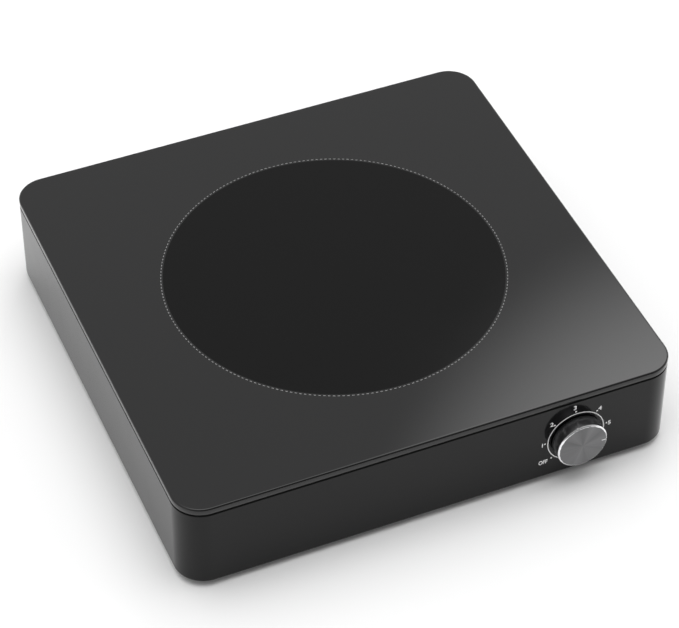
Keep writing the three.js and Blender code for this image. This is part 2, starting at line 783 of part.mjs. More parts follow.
// Aluminium cap: a flat face with a chamfered rim and a thin skirt.
function knobCap() {
  const inner = KNOB_RADIUS - KNOB_SHELL;
  return turnedAlongY([
    [0, KNOB_FACE],
    [KNOB_RADIUS - KNOB_CHAMFER, KNOB_FACE],
    [KNOB_RADIUS, KNOB_FACE + KNOB_CHAMFER],
    [KNOB_RADIUS, KNOB_BACK],
    [inner, KNOB_BACK],
    [inner, KNOB_FACE + KNOB_SHELL],
    [0, KNOB_FACE + KNOB_SHELL],
  ], 40, KNOB_X, KNOB_Z);
}

// The outline of a round bar with one flat, seen along Y; the flat faces +X at the given distance.
function shaftOutline(radius, flat, sides = 24) {
  const limit = Math.acos(flat / radius);
  const points = [];
  for (let i = 0; i <= sides; i += 1) {
    const angle = limit + ((2 * Math.PI - 2 * limit) * i) / sides;
    points.push([KNOB_X + radius * Math.cos(angle), KNOB_Z + radius * Math.sin(angle)]);
  }
  return polygon(points);
}

// Plastic hub pressed into the cap; its boss takes the flatted shaft.
function knobHub() {
  const web = 2.6;
  const boss = 5.4;
  const hub = turnedAlongY([
    [0, HUB_FRONT],
    [KNOB_RADIUS - KNOB_SHELL - CONTACT, HUB_FRONT],
    [KNOB_RADIUS - KNOB_SHELL - CONTACT, HUB_FRONT + web],
    [boss, HUB_FRONT + web],
    [boss, HUB_BACK],
    [0, HUB_BACK],
  ], 32, KNOB_X, KNOB_Z);
  const bore = prismAlongY(
    shaftOutline(SHAFT_RADIUS + 0.2, SHAFT_FLAT + CLIP_SHEET + 0.4),
    SHAFT_END - 0.3,
    HUB_BACK + 1,
  );
  return shaped(hub, { cut: [bore] });
}

// Spring strip that grips the shaft's flat inside the hub.
function knobClip() {
  const start = KNOB_X + SHAFT_FLAT + 0.2;
  return block(start, start + CLIP_SHEET, SHAFT_END + 0.2, HUB_BACK - 0.2, KNOB_Z - 1.6, KNOB_Z + 1.6);
}

// ---- Regulator ----------------------------------------------------------------------------

// Control shaft: flatted at the knob, with a collar inside the case and a thinner tail.
function regulatorShaft() {
  const bar = turnedAlongY([
    [0, SHAFT_END],
    [SHAFT_RADIUS - 0.4, SHAFT_END],
    [SHAFT_RADIUS, SHAFT_END + 0.4],
    [SHAFT_RADIUS, COLLAR_FRONT],
    [COLLAR_RADIUS, COLLAR_FRONT],
    [COLLAR_RADIUS, COLLAR_BACK],
    [SHAFT_RADIUS, COLLAR_BACK],
    [SHAFT_RADIUS, CASE_BACK - 0.1],
    [TAIL_RADIUS, CASE_BACK - 0.1],
    [TAIL_RADIUS, COVER_BACK - 0.4],
    [0, COVER_BACK - 0.4],
  ], 24, KNOB_X, KNOB_Z);
  const flat = block(
    KNOB_X + SHAFT_FLAT,
    KNOB_X + 5,
    SHAFT_END - 1,
    BUSH_FRONT - 0.2,
    KNOB_Z - 5,
    KNOB_Z + 5,
  );
  return shaped(bar, { cut: [flat] });
}

// Snail cam: its radius falls evenly over the knob's travel, then climbs back.
function regulatorCam() {
  const points = [];
  const count = 40;
  const dwell = 8;
  for (let i = 0; i < count; i += 1) {
    const degrees = (360 * i) / count;
    const behind = (degrees - 90 + 720) % 360;
    const fall = 360 - KNOB_TRAVEL - dwell;
    let share = 0;
    if (behind > dwell && behind < 360 - KNOB_TRAVEL) {
      share = (behind - dwell) / fall;
    } else if (behind >= 360 - KNOB_TRAVEL) {
      share = (360 - behind) / KNOB_TRAVEL;
    }
    const radius = CAM_HIGH - CAM_RISE * share;
    const angle = THREE.MathUtils.degToRad(degrees);
    points.push([KNOB_X + radius * Math.cos(angle), KNOB_Z + radius * Math.sin(angle)]);
  }
  const outline = polygon(points);
  outline.holes.push(hole(SHAFT_RADIUS + 0.2, KNOB_X, KNOB_Z, 24));
  return prismAlongY(outline, CAM_FRONT, CAM_BACK);
}

// Lever that lies over the cam and turns on its pin at the left.
function regulatorLever() {
  const boss = circle(3, 16, PIN_X, PIN_Z);
  const arm = block(PIN_X, KNOB_X + 15, CAM_FRONT, CAM_BACK, LEVER_UNDER, LEVER_UNDER + LEVER_DEPTH);
  const bore = circle(PIN_RADIUS + GAP, 16, PIN_X, PIN_Z);
  return shaped(prismAlongY(boss, CAM_FRONT, CAM_BACK), {
    add: [arm],
    cut: [prismAlongY(bore, CAM_FRONT - 1, CAM_BACK + 1)],
  });
}

// Pin from the case's front wall to its cover.
function leverPin() {
  const front = CASE_FRONT + CASE_WALL - 1;
  return prismAlongY(circle(PIN_RADIUS, 16, PIN_X, PIN_Z), front, CASE_BACK - 0.2);
}

// Fixed contact strip above the lever's free end.
function fixedContact() {
  const under = LEVER_UNDER + LEVER_DEPTH + 0.9;
  const strip = block(KNOB_X + 6, KNOB_X + 18, CAM_FRONT, CASE_BACK - 3, under + 1.2, under + 2);
  const button = prism(circle(1.8, 12, KNOB_X + 12, (CAM_FRONT + CAM_BACK) / 2), under, under + 1.5);
  return shaped(strip, { add: [button] });
}

function regulatorCase() {
  const rim = roundedRectangle(CASE_WIDTH, CASE_HEIGHT, 3, KNOB_X, KNOB_Z);
  const room = roundedRectangle(
    CASE_WIDTH - 2 * CASE_WALL,
    CASE_HEIGHT - 2 * CASE_WALL,
    1.5,
    KNOB_X,
    KNOB_Z,
  );
  return shaped(prismAlongY(rim, CASE_FRONT, CASE_BACK, 2), {
    cut: [
      prismAlongY(room, CASE_FRONT + CASE_WALL, CASE_BACK + 1, 2),
      prismAlongY(circle(SHAFT_RADIUS + GAP, 24, KNOB_X, KNOB_Z), CASE_FRONT - 1, CASE_BACK),
      prismAlongY(circle(PIN_RADIUS + CONTACT, 16, PIN_X, PIN_Z), CASE_FRONT + CASE_WALL - 1.2, CASE_BACK),
    ],
  });
}

function bladePlaces() {
  return [
    ['regulator_tab_lower_left', KNOB_X - BLADE_X, KNOB_Z - BLADE_Z],
    ['regulator_tab_lower_right', KNOB_X + BLADE_X, KNOB_Z - BLADE_Z],
    ['regulator_tab_upper_left', KNOB_X - BLADE_X, KNOB_Z + BLADE_Z],
    ['regulator_tab_upper_right', KNOB_X + BLADE_X, KNOB_Z + BLADE_Z],
  ];
}

function regulatorCover() {
  const rim = roundedRectangle(CASE_WIDTH, CASE_HEIGHT, 3, KNOB_X, KNOB_Z);
  const front = CASE_BACK + 0.2;
  const cut = [
    prismAlongY(circle(TAIL_RADIUS + GAP, 24, KNOB_X, KNOB_Z), front - 1, COVER_BACK + 1),
  ];
  for (const [, x, z] of bladePlaces()) {
    const halfWidth = BLADE_WIDTH / 2 + CONTACT;
    const halfSheet = BLADE_SHEET / 2 + CONTACT;
    cut.push(block(x - halfWidth, x + halfWidth, front - 1, COVER_BACK + 1, z - halfSheet, z + halfSheet));
  }
  return shaped(prismAlongY(rim, front, COVER_BACK, 2), { cut });
}

function regulatorBlade(x, z) {
  const halfWidth = BLADE_WIDTH / 2;
  const halfSheet = BLADE_SHEET / 2;
  return block(x - halfWidth, x + halfWidth, CASE_BACK - 2, BLADE_END, z - halfSheet, z + halfSheet);
}

// Steel plate between the case and the front wall, with the threaded bush through the wall.
function regulatorBush() {
  const plateFront = FRONT_FACE + WALL + GAP;
  const plateBack = CASE_FRONT - GAP;
  const plate = roundedRectangle(CASE_WIDTH - 4, CASE_HEIGHT - 6, 4, KNOB_X, KNOB_Z);
  const bush = turnedAlongY([
    [SHAFT_RADIUS + GAP, BUSH_FRONT],
    [BUSH_RADIUS - 0.4, BUSH_FRONT],
    [BUSH_RADIUS, BUSH_FRONT + 0.4],
    [BUSH_RADIUS, plateBack],
    [SHAFT_RADIUS + GAP, plateBack],
    [SHAFT_RADIUS + GAP, BUSH_FRONT],
  ], 24, KNOB_X, KNOB_Z);
  const mid = prismAlongY(plate, plateFront, plateBack, 2);
  const boreOutline = circle(SHAFT_RADIUS + GAP, 24, KNOB_X, KNOB_Z, Math.PI / 2);
  const bore = prismAlongY(boreOutline, plateFront - 1, plateBack + 1);
  return shaped(mid, { add: [bush], cut: [bore] });
}

function hexNut(acrossFlats, bore, front, back, x, z) {
  const nut = circle(acrossFlats / Math.sqrt(3), 6, x, z);
  nut.holes.push(hole(bore, x, z, 24));
  return prismAlongY(nut, front, back);
}

function addKnobAndRegulator() {
  piece('knob_cap', knobCap(), BRUSHED_ALUMINIUM);
  piece('knob_hub', knobHub(), BLACK_PLASTIC);
  piece('knob_clip', knobClip(), SPRING_STEEL);
  piece('regulator_shaft', regulatorShaft(), ZINC_STEEL);
  piece('regulator_cam', regulatorCam(), CLAMP_PLASTIC);
  piece('regulator_lever', regulatorLever(), BRASS);
  piece('lever_pin', leverPin(), ZINC_STEEL);
  piece('fixed_contact', fixedContact(), BRASS);
  piece('regulator_case', regulatorCase(), BROWN_BAKELITE);
  piece('regulator_cover', regulatorCover(), BROWN_BAKELITE);
  piece('regulator_bush', regulatorBush(), ZINC_STEEL);
  const nutBack = FRONT_FACE - CONTACT;
  const nutFront = nutBack - NUT_THICKNESS;
  const nut = hexNut(NUT_ACROSS_FLATS, BUSH_RADIUS + 0.2, nutFront, nutBack, KNOB_X, KNOB_Z);
  piece('bush_nut', nut, ZINC_STEEL);
  for (const [name, x, z] of bladePlaces()) {
    piece(name, regulatorBlade(x, z), BRASS);
  }
}

// ---- Mains entry --------------------------------------------------------------------------

// Gland body: a spigot through the wall and a hexagonal shoulder outside it.
function cordGland() {
  const tubePart = turnedAlongY([
    [GLAND_BORE, GLAND_INNER_END],
    [GLAND_SPIGOT, GLAND_INNER_END],
    [GLAND_SPIGOT, GLAND_CAP_START + GLAND_SPIGOT_REACH],
    [GLAND_BORE, GLAND_CAP_START + GLAND_SPIGOT_REACH],
    [GLAND_BORE, GLAND_INNER_END],
  ], 24, GLAND_X, GLAND_Z);
  const shoulder = hexNut(
    GLAND_HEX,
    GLAND_SPIGOT - 0.5,
    GLAND_SHOULDER,
    GLAND_CAP_START - 0.2,
    GLAND_X,
    GLAND_Z,
  );
  return shaped(tubePart, { add: [shoulder] });
}

// Domed cap that screws over the gland body and grips the cord.
function glandCap() {
  const radius = GLAND_CAP_RADIUS;
  return turnedAlongY([
    [GLAND_SPIGOT + 0.2, GLAND_CAP_START],
    [radius, GLAND_CAP_START],
    [radius, GLAND_END - 2.6],
    [radius - 0.9, GLAND_END - 1],
    [radius - 2.6, GLAND_END],
    [GLAND_BORE, GLAND_END],
    [GLAND_BORE, GLAND_CAP_SEAT],
    [GLAND_SPIGOT + 0.2, GLAND_CAP_SEAT],
    [GLAND_SPIGOT + 0.2, GLAND_CAP_START],
  ], 24, GLAND_X, GLAND_Z);
}

function polePlaces() {
  return [-POLE_PITCH, 0, POLE_PITCH].map((offset) => GLAND_X + offset);
}

// Three-pole block with wire entries front and back and clamp-screw wells on top.
function mainsTerminalBlock() {
  const bottom = BASE_TOP + CONTACT;
  const left = GLAND_X - BLOCK_WIDTH / 2;
  const back = BLOCK_FRONT + BLOCK_DEPTH;
  const body = block(left, left + BLOCK_WIDTH, BLOCK_FRONT, back, bottom, BLOCK_TOP);
  const cut = [prism(circle(SCREW_HOLE, 12, GLAND_X, BLOCK_Y), bottom - 1, bottom + 6)];
  for (const x of polePlaces()) {
    const entry = circle(BLOCK_ENTRY_RADIUS, 10, x, BLOCK_ENTRY);
    cut.push(prismAlongY(entry, BLOCK_FRONT - 1, BLOCK_FRONT + BLOCK_ENTRY_DEPTH));
    cut.push(prismAlongY(entry, back - BLOCK_ENTRY_DEPTH, back + 1));
    const well = circle(BLOCK_WELL_RADIUS, 10, x, BLOCK_Y);
    cut.push(prism(well, BLOCK_TOP - BLOCK_WELL_DEPTH, BLOCK_TOP + 1));
  }
  return shaped(body, { cut });
}

function addMainsEntry() {
  piece('cord_gland', cordGland(), BLACK_PLASTIC);
  piece('gland_cap', glandCap(), BLACK_PLASTIC);
  const nutBack = BACK_FACE - WALL - GAP;
  const nutFront = nutBack - GLAND_NUT_THICKNESS;
  const nut = hexNut(GLAND_HEX, GLAND_SPIGOT + 0.2, nutFront, nutBack, GLAND_X, GLAND_Z);
  piece('gland_nut', nut, BLACK_PLASTIC);
  piece('mains_terminal_block', mainsTerminalBlock(), CLAMP_PLASTIC);
  const blockScrewShape = panScrew(SCREW_HEAD, SCREW_HEAD_HEIGHT, BLOCK_SCREW_LENGTH);
  const blockScrew = piece('block_screw', blockScrewShape, ZINC_STEEL);
  blockScrew.position.set(GLAND_X, BLOCK_Y, BASE_BOTTOM - CONTACT);
  const earthScrewShape = panScrew(SCREW_HEAD, SCREW_HEAD_HEIGHT, EARTH_SCREW_LENGTH);
  const earthScrew = piece('earth_screw', earthScrewShape, BRASS);
  earthScrew.rotation.x = Math.PI;
  earthScrew.position.set(EARTH_X, EARTH_Y, BASE_TOP + 1.3);
}

// ---- Wiring -------------------------------------------------------------------------------

// A push-on receptacle: a sleeve with a slot that leaves room for the blade it sits on.
function receptacle(width, thickness, length) {
  const sleeve = block(-width / 2, width / 2, 0, length, -thickness / 2, thickness / 2);
  const slotWidth = BLADE_WIDTH / 2 + 0.25;
  const slotSheet = BLADE_SHEET / 2 + 0.25;
  const slot = block(-slotWidth, slotWidth, -1, length - 4, -slotSheet, slotSheet);
  return shaped(sleeve, { cut: [slot] });
}

// A sleeve at a point, its mouth facing back along the given heading in the XY plane.
function placedReceptacle(point, heading, upright) {
  const sleeve = receptacle(SLEEVE_WIDTH, SLEEVE_THICKNESS, SLEEVE_LENGTH);
  if (upright) {
    sleeve.rotateY(Math.PI / 2);
  }
  sleeve.rotateZ(heading - Math.PI / 2);
  return sleeve.translate(...point);
}

function wire(points, steps, ends = []) {
  return shaped(tube(points, WIRE_RADIUS, steps, 6), { add: ends });
}

function regulatorEnd(x, z) {
  return placedReceptacle([x, SLEEVE_START, z], Math.PI / 2, false);
}

function heaterEnd(side) {
  const start = TERMINAL_OUTER + SLEEVE_STANDOFF;
  return placedReceptacle(zonePoint(TERMINAL_ANGLE, start, side, TAB_HEIGHT), TERMINAL_ANGLE, false);
}

function limiterEnd(side) {
  const start = LIMITER_BOX_END + SLEEVE_STANDOFF;
  return placedReceptacle(zonePoint(LIMITER_ANGLE, start, side, LIMITER_BLADE_Z), LIMITER_ANGLE, true);
}

function addWiring() {
  const left = KNOB_X - BLADE_X;
  const right = KNOB_X + BLADE_X;
  const low = KNOB_Z - BLADE_Z;
  const high = KNOB_Z + BLADE_Z;
  const [livePole, neutralPole, earthPole] = polePlaces();
  const poleEnd = BLOCK_FRONT + 4;
  const live = [
    [livePole, poleEnd, BLOCK_ENTRY],
    [livePole, BLOCK_FRONT - 4, BLOCK_ENTRY],
    [90, 70, 17],
    [98, 0, 19],
    [92, -60, 22],
    [78, -88, low],
    [left, WIRE_START + 4, low],
    [left, WIRE_START, low],
  ];
  piece('wire_live', wire(live, 22, [regulatorEnd(left, low)]), RED_SILICONE);
  const neutral = [
    [neutralPole, poleEnd, BLOCK_ENTRY],
    [neutralPole, BLOCK_FRONT - 4, BLOCK_ENTRY],
    [98, 70, 17],
    [106, 0, 19],
    [103, -60, 22],
    [96, -88, low],
    [right, WIRE_START + 4, low],
    [right, WIRE_START, low],
  ];
  piece('wire_neutral', wire(neutral, 22, [regulatorEnd(right, low)]), BLUE_SILICONE);
  const limiterOut = LIMITER_BOX_END + SLEEVE_STANDOFF + SLEEVE_LENGTH;
  const feed = [
    [left, WIRE_START, high],
    [left, WIRE_START + 5, high],
    [84, -92, 39],
    [110, -88, 44],
    zonePoint(LIMITER_ANGLE, limiterOut + 4, -TAB_SIDE - 3, 48),
    zonePoint(LIMITER_ANGLE, limiterOut + 2, -TAB_SIDE, LIMITER_BLADE_Z),
    zonePoint(LIMITER_ANGLE, limiterOut - 1, -TAB_SIDE, LIMITER_BLADE_Z),
  ];
  const feedEnds = [regulatorEnd(left, high), limiterEnd(-TAB_SIDE)];
  piece('wire_limiter_feed', wire(feed, 20, feedEnds), WHITE_SILICONE);
  const heaterOut = TERMINAL_OUTER + SLEEVE_STANDOFF + SLEEVE_LENGTH;
  const link = [
    zonePoint(LIMITER_ANGLE, limiterOut - 1, TAB_SIDE, LIMITER_BLADE_Z),
    zonePoint(LIMITER_ANGLE, limiterOut + 2, TAB_SIDE, LIMITER_BLADE_Z),
    [132, -50, 48],
    [134, -20, 47],
    zonePoint(TERMINAL_ANGLE, heaterOut + 4, -TAB_SIDE - 3, 48),
    zonePoint(TERMINAL_ANGLE, heaterOut + 2, -TAB_SIDE, TAB_HEIGHT),
    zonePoint(TERMINAL_ANGLE, heaterOut - 1, -TAB_SIDE, TAB_HEIGHT),
  ];
  const linkEnds = [limiterEnd(TAB_SIDE), heaterEnd(-TAB_SIDE)];
  piece('wire_limiter_to_heater', wire(link, 20, linkEnds), WHITE_SILICONE);
  const back = [
    zonePoint(TERMINAL_ANGLE, heaterOut - 1, TAB_SIDE, TAB_HEIGHT),
    zonePoint(TERMINAL_ANGLE, heaterOut + 3, TAB_SIDE, TAB_HEIGHT),
    [132, 28, 42],
    [124, 20, 30],
    [118, -20, 28],
    [116, -60, 30],
    [102, -88, 36],
    [right, WIRE_START + 5, high],
    [right, WIRE_START, high],
  ];
  const backEnds = [heaterEnd(TAB_SIDE), regulatorEnd(right, high)];
  piece('wire_heater_return', wire(back, 26, backEnds), WHITE_SILICONE);
  const ringBottom = BASE_TOP + GAP;
  const eye = circle(4, 12, EARTH_X, EARTH_Y);
  eye.holes.push(hole(SCREW_HOLE, EARTH_X, EARTH_Y));
  const earth = [
    [earthPole, poleEnd, BLOCK_ENTRY],
    [earthPole, BLOCK_FRONT - 4, BLOCK_ENTRY],
    [102, 91, 12],
    [108, 87, 8.4],
    [EARTH_X - 3.4, EARTH_Y + 1.4, 8.2],
  ];
  const ring = prism(eye, ringBottom, ringBottom + 0.8);
  piece('wire_earth', wire(earth, 10, [ring]), GREEN_YELLOW);
}

// ---- Assembly -----------------------------------------------------------------------------

piece('glass_plate', glassPlate(), BLACK_GLASS);
piece('glass_seal', glassSeal(), DARK_SILICONE);
piece('housing', housing(), BLACK_ENAMEL);
piece('base_cover', baseCover(), BLACK_ENAMEL);
addFeetAndBaseScrews();
addHeater();
addKnobAndRegulator();
addMainsEntry();
addWiring();

export default hotPlate;
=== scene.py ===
"""A glass-ceramic hot plate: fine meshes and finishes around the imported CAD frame.

The functions below work in millimetres, in the frame's own axes. new_mesh() turns points into metres.
"""
import json
import math

import bmesh
import bpy
from mathutils import Matrix, Vector


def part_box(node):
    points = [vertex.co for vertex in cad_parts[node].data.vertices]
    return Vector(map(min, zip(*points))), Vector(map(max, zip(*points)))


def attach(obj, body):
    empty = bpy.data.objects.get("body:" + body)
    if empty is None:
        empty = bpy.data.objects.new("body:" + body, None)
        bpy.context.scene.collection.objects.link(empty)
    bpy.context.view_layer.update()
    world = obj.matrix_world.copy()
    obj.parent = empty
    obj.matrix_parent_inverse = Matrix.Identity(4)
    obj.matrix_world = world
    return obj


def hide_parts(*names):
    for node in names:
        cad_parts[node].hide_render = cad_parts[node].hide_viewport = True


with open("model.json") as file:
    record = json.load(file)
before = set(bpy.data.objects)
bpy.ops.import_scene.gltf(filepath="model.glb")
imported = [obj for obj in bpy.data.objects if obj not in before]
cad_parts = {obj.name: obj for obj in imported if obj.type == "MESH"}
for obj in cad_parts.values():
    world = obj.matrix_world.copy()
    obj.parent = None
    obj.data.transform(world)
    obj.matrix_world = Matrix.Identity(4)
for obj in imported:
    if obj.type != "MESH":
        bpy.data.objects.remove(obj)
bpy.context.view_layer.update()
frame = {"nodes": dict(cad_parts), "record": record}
MM = 0.001
TAU = 2 * math.pi


def node_box(name):
    """A CAD node's lowest and highest corners, in millimetres."""
    low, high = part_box(name)
    return low / MM, high / MM


# ---- Sizes taken from the frame, in millimetres ---------------------------------------------

GLASS_LOW, GLASS_HIGH = node_box("glass_plate")
SHELL_LOW, SHELL_HIGH = node_box("housing")
SEAL_LOW, SEAL_HIGH = node_box("glass_seal")
BASE_LOW, BASE_HIGH = node_box("base_cover")
CAP_LOW, CAP_HIGH = node_box("knob_cap")
HUB_LOW, HUB_HIGH = node_box("knob_hub")
NUT_LOW, NUT_HIGH = node_box("bush_nut")
GLAND_LOW, GLAND_HIGH = node_box("cord_gland")
GLAND_CAP_LOW, GLAND_CAP_HIGH = node_box("gland_cap")

CORNER_RADIUS = 17.0
PRINT_THICKNESS = 0.04
PRINT_SINK = 0.004
PRINT_LIFT = 0.002
GLASS_TOP = GLASS_HIGH.z - PRINT_THICKNESS
KNOB_CENTRE = (CAP_LOW + CAP_HIGH) / 2
KNOB_RADIUS = (CAP_HIGH.x - CAP_LOW.x) / 2
GLAND_CENTRE = (GLAND_CAP_LOW + GLAND_CAP_HIGH) / 2
FRONT_FACE = SHELL_LOW.y
BACK_FACE = SHELL_HIGH.y
SMOOTH_ANGLE = 32
SCREW_HOLE = 1.9


# ---- Camera ---------------------------------------------------------------------------------

CAMERA_AZIMUTH = math.radians(-23.034)
CAMERA_ELEVATION = math.radians(43.879)
CAMERA_ROLL = math.radians(0.172)
CAMERA_LENS = 148.12
SENSOR_WIDTH = 36
CAMERA_DISTANCE = 1.5766
CAMERA_OFFSET = (-0.00297, 0.02365)


def add_camera():
    """Looks down at the front and left sides; the offset slides it sideways in its own plane."""
    back = Vector((
        math.sin(CAMERA_AZIMUTH) * math.cos(CAMERA_ELEVATION),
        -math.cos(CAMERA_AZIMUTH) * math.cos(CAMERA_ELEVATION),
        math.sin(CAMERA_ELEVATION),
    ))
    right = Vector((0, 0, 1)).cross(back).normalized()
    up = back.cross(right)
    roll = Matrix.Rotation(CAMERA_ROLL, 3, back)
    right = roll @ right
    up = roll @ up
    target = Vector((0, 0, GLASS_HIGH.z * MM))
    slide = right * CAMERA_OFFSET[0] + up * CAMERA_OFFSET[1]
    camera = bpy.data.objects.new("camera", bpy.data.cameras.new("camera"))
    camera.data.lens = CAMERA_LENS
    camera.data.sensor_width = SENSOR_WIDTH
    camera.data.clip_start = 0.05
    camera.data.clip_end = 50
    turn = Matrix((right, up, back)).transposed().to_4x4()
    camera.matrix_world = Matrix.Translation(target + back * CAMERA_DISTANCE - slide) @ turn
    bpy.context.scene.collection.objects.link(camera)
    bpy.context.scene.camera = camera


# ---- Materials ------------------------------------------------------------------------------


class Finish:
    """A Principled material with a few procedural layers over object coordinates, in metres."""

    def __init__(self, name, color, roughness, metallic=0.0, **sockets):
        self.material = bpy.data.materials.new(name)
        self.material.use_nodes = True
        self.nodes = self.material.node_tree.nodes
        self.links = self.material.node_tree.links
        self.shader = self.nodes["Principled BSDF"]
        self.shader.inputs["Base Color"].default_value = (*color, 1)
        self.shader.inputs["Roughness"].default_value = roughness
        self.shader.inputs["Metallic"].default_value = metallic
        for socket, value in sockets.items():
            self.shader.inputs[socket.replace("_", " ")].default_value = value
        self.place = self.nodes.new("ShaderNodeTexCoord").outputs["Object"]

    def stretched(self, scale):
        """Object coordinates scaled per axis, for grain that runs one way."""
        mapping = self.nodes.new("ShaderNodeMapping")
        mapping.inputs["Scale"].default_value = scale
        self.links.new(self.place, mapping.inputs["Vector"])
        return mapping.outputs["Vector"]

    def noise(self, scale, detail=3.0, vector=None):
        node = self.nodes.new("ShaderNodeTexNoise")
        node.inputs["Scale"].default_value = scale
        node.inputs["Detail"].default_value = detail
        self.links.new(vector or self.place, node.inputs["Vector"])
        return node.outputs["Fac"]

    def ramp(self, value, low, high, from_low=0.3, from_high=0.7):
        """value mapped from its usual spread to low..high."""
        node = self.nodes.new("ShaderNodeMapRange")
        node.inputs["From Min"].default_value = from_low
        node.inputs["From Max"].default_value = from_high
        node.inputs["To Min"].default_value = low
        node.inputs["To Max"].default_value = high
        self.links.new(value, node.inputs["Value"])
        return node.outputs["Result"]

    def vary_roughness(self, scale, low, high, vector=None):
        spread = self.ramp(self.noise(scale, vector=vector), low, high)
        self.links.new(spread, self.shader.inputs["Roughness"])
        return self

    def vary_color(self, scale, dark, light, vector=None):
        mix = self.nodes.new("ShaderNodeMix")
        mix.data_type = "RGBA"
        mix.inputs["A"].default_value = (*dark, 1)
        mix.inputs["B"].default_value = (*light, 1)
        self.links.new(self.ramp(self.noise(scale, vector=vector), 0, 1), mix.inputs["Factor"])
        self.links.new(mix.outputs["Result"], self.shader.inputs["Base Color"])
        return self

    def bump(self, height, distance, strength=1.0):
        node = self.nodes.new("ShaderNodeBump")
        node.inputs["Distance"].default_value = distance
        node.inputs["Strength"].default_value = strength
        self.links.new(height, node.inputs["Height"])
        self.links.new(node.outputs["Normal"], self.shader.inputs["Normal"])
        return self


def black_glass():
    finish = Finish("black_glass", (0.002, 0.002, 0.0022), 0.04, IOR=1.5)
    return finish.vary_roughness(14, 0.03, 0.055).material


def pan_reflection_glass():
    """Painted reflection: black glass that mirrors less, standing in for the dark mirrored image of a
    pan over the cooking zone.
    """
    finish = Finish("pan_reflection_glass", (0.002, 0.002, 0.002), 0.06, IOR=1.5, Specular_IOR_Level=0.16)
    return finish.vary_roughness(20, 0.05, 0.08).material


def black_enamel():
    finish = Finish("black_enamel", (0.0022, 0.0022, 0.0024), 0.12, IOR=1.5, Specular_IOR_Level=0.23)
    finish.vary_roughness(60, 0.09, 0.15)
    return finish.bump(finish.noise(420, 2), 0.00003, 0.12).material


def base_enamel():
    finish = Finish("base_enamel", (0.02, 0.02, 0.021), 0.4, IOR=1.5)
    finish.vary_roughness(80, 0.34, 0.5)
    return finish.bump(finish.noise(900, 4), 0.00006, 0.4).material


def spun_rings(finish, axis_height, scale):
    """Noise that changes only with the distance from the knob's axis, as turning marks do."""
    split = finish.nodes.new("ShaderNodeSeparateXYZ")
    finish.links.new(finish.place, split.inputs["Vector"])
    flat = finish.nodes.new("ShaderNodeCombineXYZ")
    finish.links.new(split.outputs["X"], flat.inputs["X"])
    finish.links.new(split.outputs["Z"], flat.inputs["Y"])
    centre = finish.nodes.new("ShaderNodeVectorMath")
    centre.operation = "DISTANCE"
    centre.inputs[1].default_value = (KNOB_CENTRE.x * MM, axis_height, 0)
    finish.links.new(flat.outputs["Vector"], centre.inputs[0])
    spread = finish.nodes.new("ShaderNodeCombineXYZ")
    finish.links.new(centre.outputs["Value"], spread.inputs["X"])
    return finish.noise(scale, 4, spread.outputs["Vector"])


def painted_spoke_sheen(finish, dark, light):
    """Painted highlight: base colour that changes with the angle round the knob's axis, standing in for
    the spokes of light that turned metal catches.
    """
    centre = finish.nodes.new("ShaderNodeVectorMath")
    centre.operation = "SUBTRACT"
    centre.inputs[1].default_value = (KNOB_CENTRE.x * MM, 0, KNOB_CENTRE.z * MM)
    finish.links.new(finish.place, centre.inputs[0])
    flat = finish.nodes.new("ShaderNodeVectorMath")
    flat.operation = "MULTIPLY"
    flat.inputs[1].default_value = (1, 0, 1)
    finish.links.new(centre.outputs["Vector"], flat.inputs[0])
    unit = finish.nodes.new("ShaderNodeVectorMath")
    unit.operation = "NORMALIZE"
    finish.links.new(flat.outputs["Vector"], unit.inputs[0])
    finish.vary_color(1.35, dark, light, unit.outputs["Vector"])


def spun_aluminium():
    """Turned face: concentric marks that draw the light out into spokes; the spokes are also painted
    into the base colour as a painted highlight.
    """
    finish = Finish("spun_aluminium", (0.2, 0.2, 0.203), 0.34, 1.0, Anisotropic=0.75, IOR=1.5)
    # Painted highlight: lighter and darker spokes round the axis, painted into the base colour.
    painted_spoke_sheen(finish, (0.13, 0.13, 0.132), (0.21, 0.21, 0.214))
    tangent = finish.nodes.new("ShaderNodeTangent")
    tangent.direction_type = "RADIAL"
    tangent.axis = "Y"
    finish.links.new(tangent.outputs["Tangent"], finish.shader.inputs["Tangent"])
    rings = spun_rings(finish, KNOB_CENTRE.z * MM, 5200)
    finish.links.new(finish.ramp(rings, 0.28, 0.42), finish.shader.inputs["Roughness"])
    return finish.bump(rings, 0.000012, 0.5).material


def polished_rim():
    finish = Finish("polished_rim", (0.92, 0.92, 0.93), 0.16, 1.0)
    return finish.vary_roughness(300, 0.12, 0.2).material


def dark_skirt():
    """Smoked polish on the knob's side, with faint lines round it from turning."""
    finish = Finish("dark_skirt", (0.2, 0.2, 0.205), 0.34, 1.0)
    return finish.vary_roughness(500, 0.3, 0.38, finish.stretched((0.02, 1, 0.02))).material


def plain_black_plastic():
    finish = Finish("black_plastic", (0.016, 0.016, 0.017), 0.45)
    finish.vary_roughness(200, 0.38, 0.55)
    return finish.bump(finish.noise(2600, 2), 0.00003, 0.35).material


def foot_rubber():
    finish = Finish("foot_rubber", (0.018, 0.018, 0.018), 0.8)
    finish.vary_color(300, (0.013, 0.013, 0.013), (0.026, 0.026, 0.025))
    return finish.bump(finish.noise(1800, 5), 0.00008, 0.5).material


def seal_silicone():
    finish = Finish("seal_silicone", (0.003, 0.003, 0.003), 0.8, Specular_IOR_Level=0.05)
    return finish.bump(finish.noise(500, 3), 0.0001, 0.4).material


def zinc_steel():
    finish = Finish("zinc_steel", (0.56, 0.57, 0.58), 0.32, 1.0)
    finish.vary_color(240, (0.46, 0.47, 0.49), (0.64, 0.65, 0.64))
    finish.vary_roughness(160, 0.24, 0.42)
    return finish.bump(finish.noise(1500, 4), 0.00003, 0.3).material


def aluminised_steel():
    finish = Finish("aluminised_steel", (0.6, 0.6, 0.57), 0.4, 1.0)
    finish.vary_color(90, (0.48, 0.48, 0.46), (0.68, 0.68, 0.65))
    return finish.vary_roughness(140, 0.3, 0.5).material


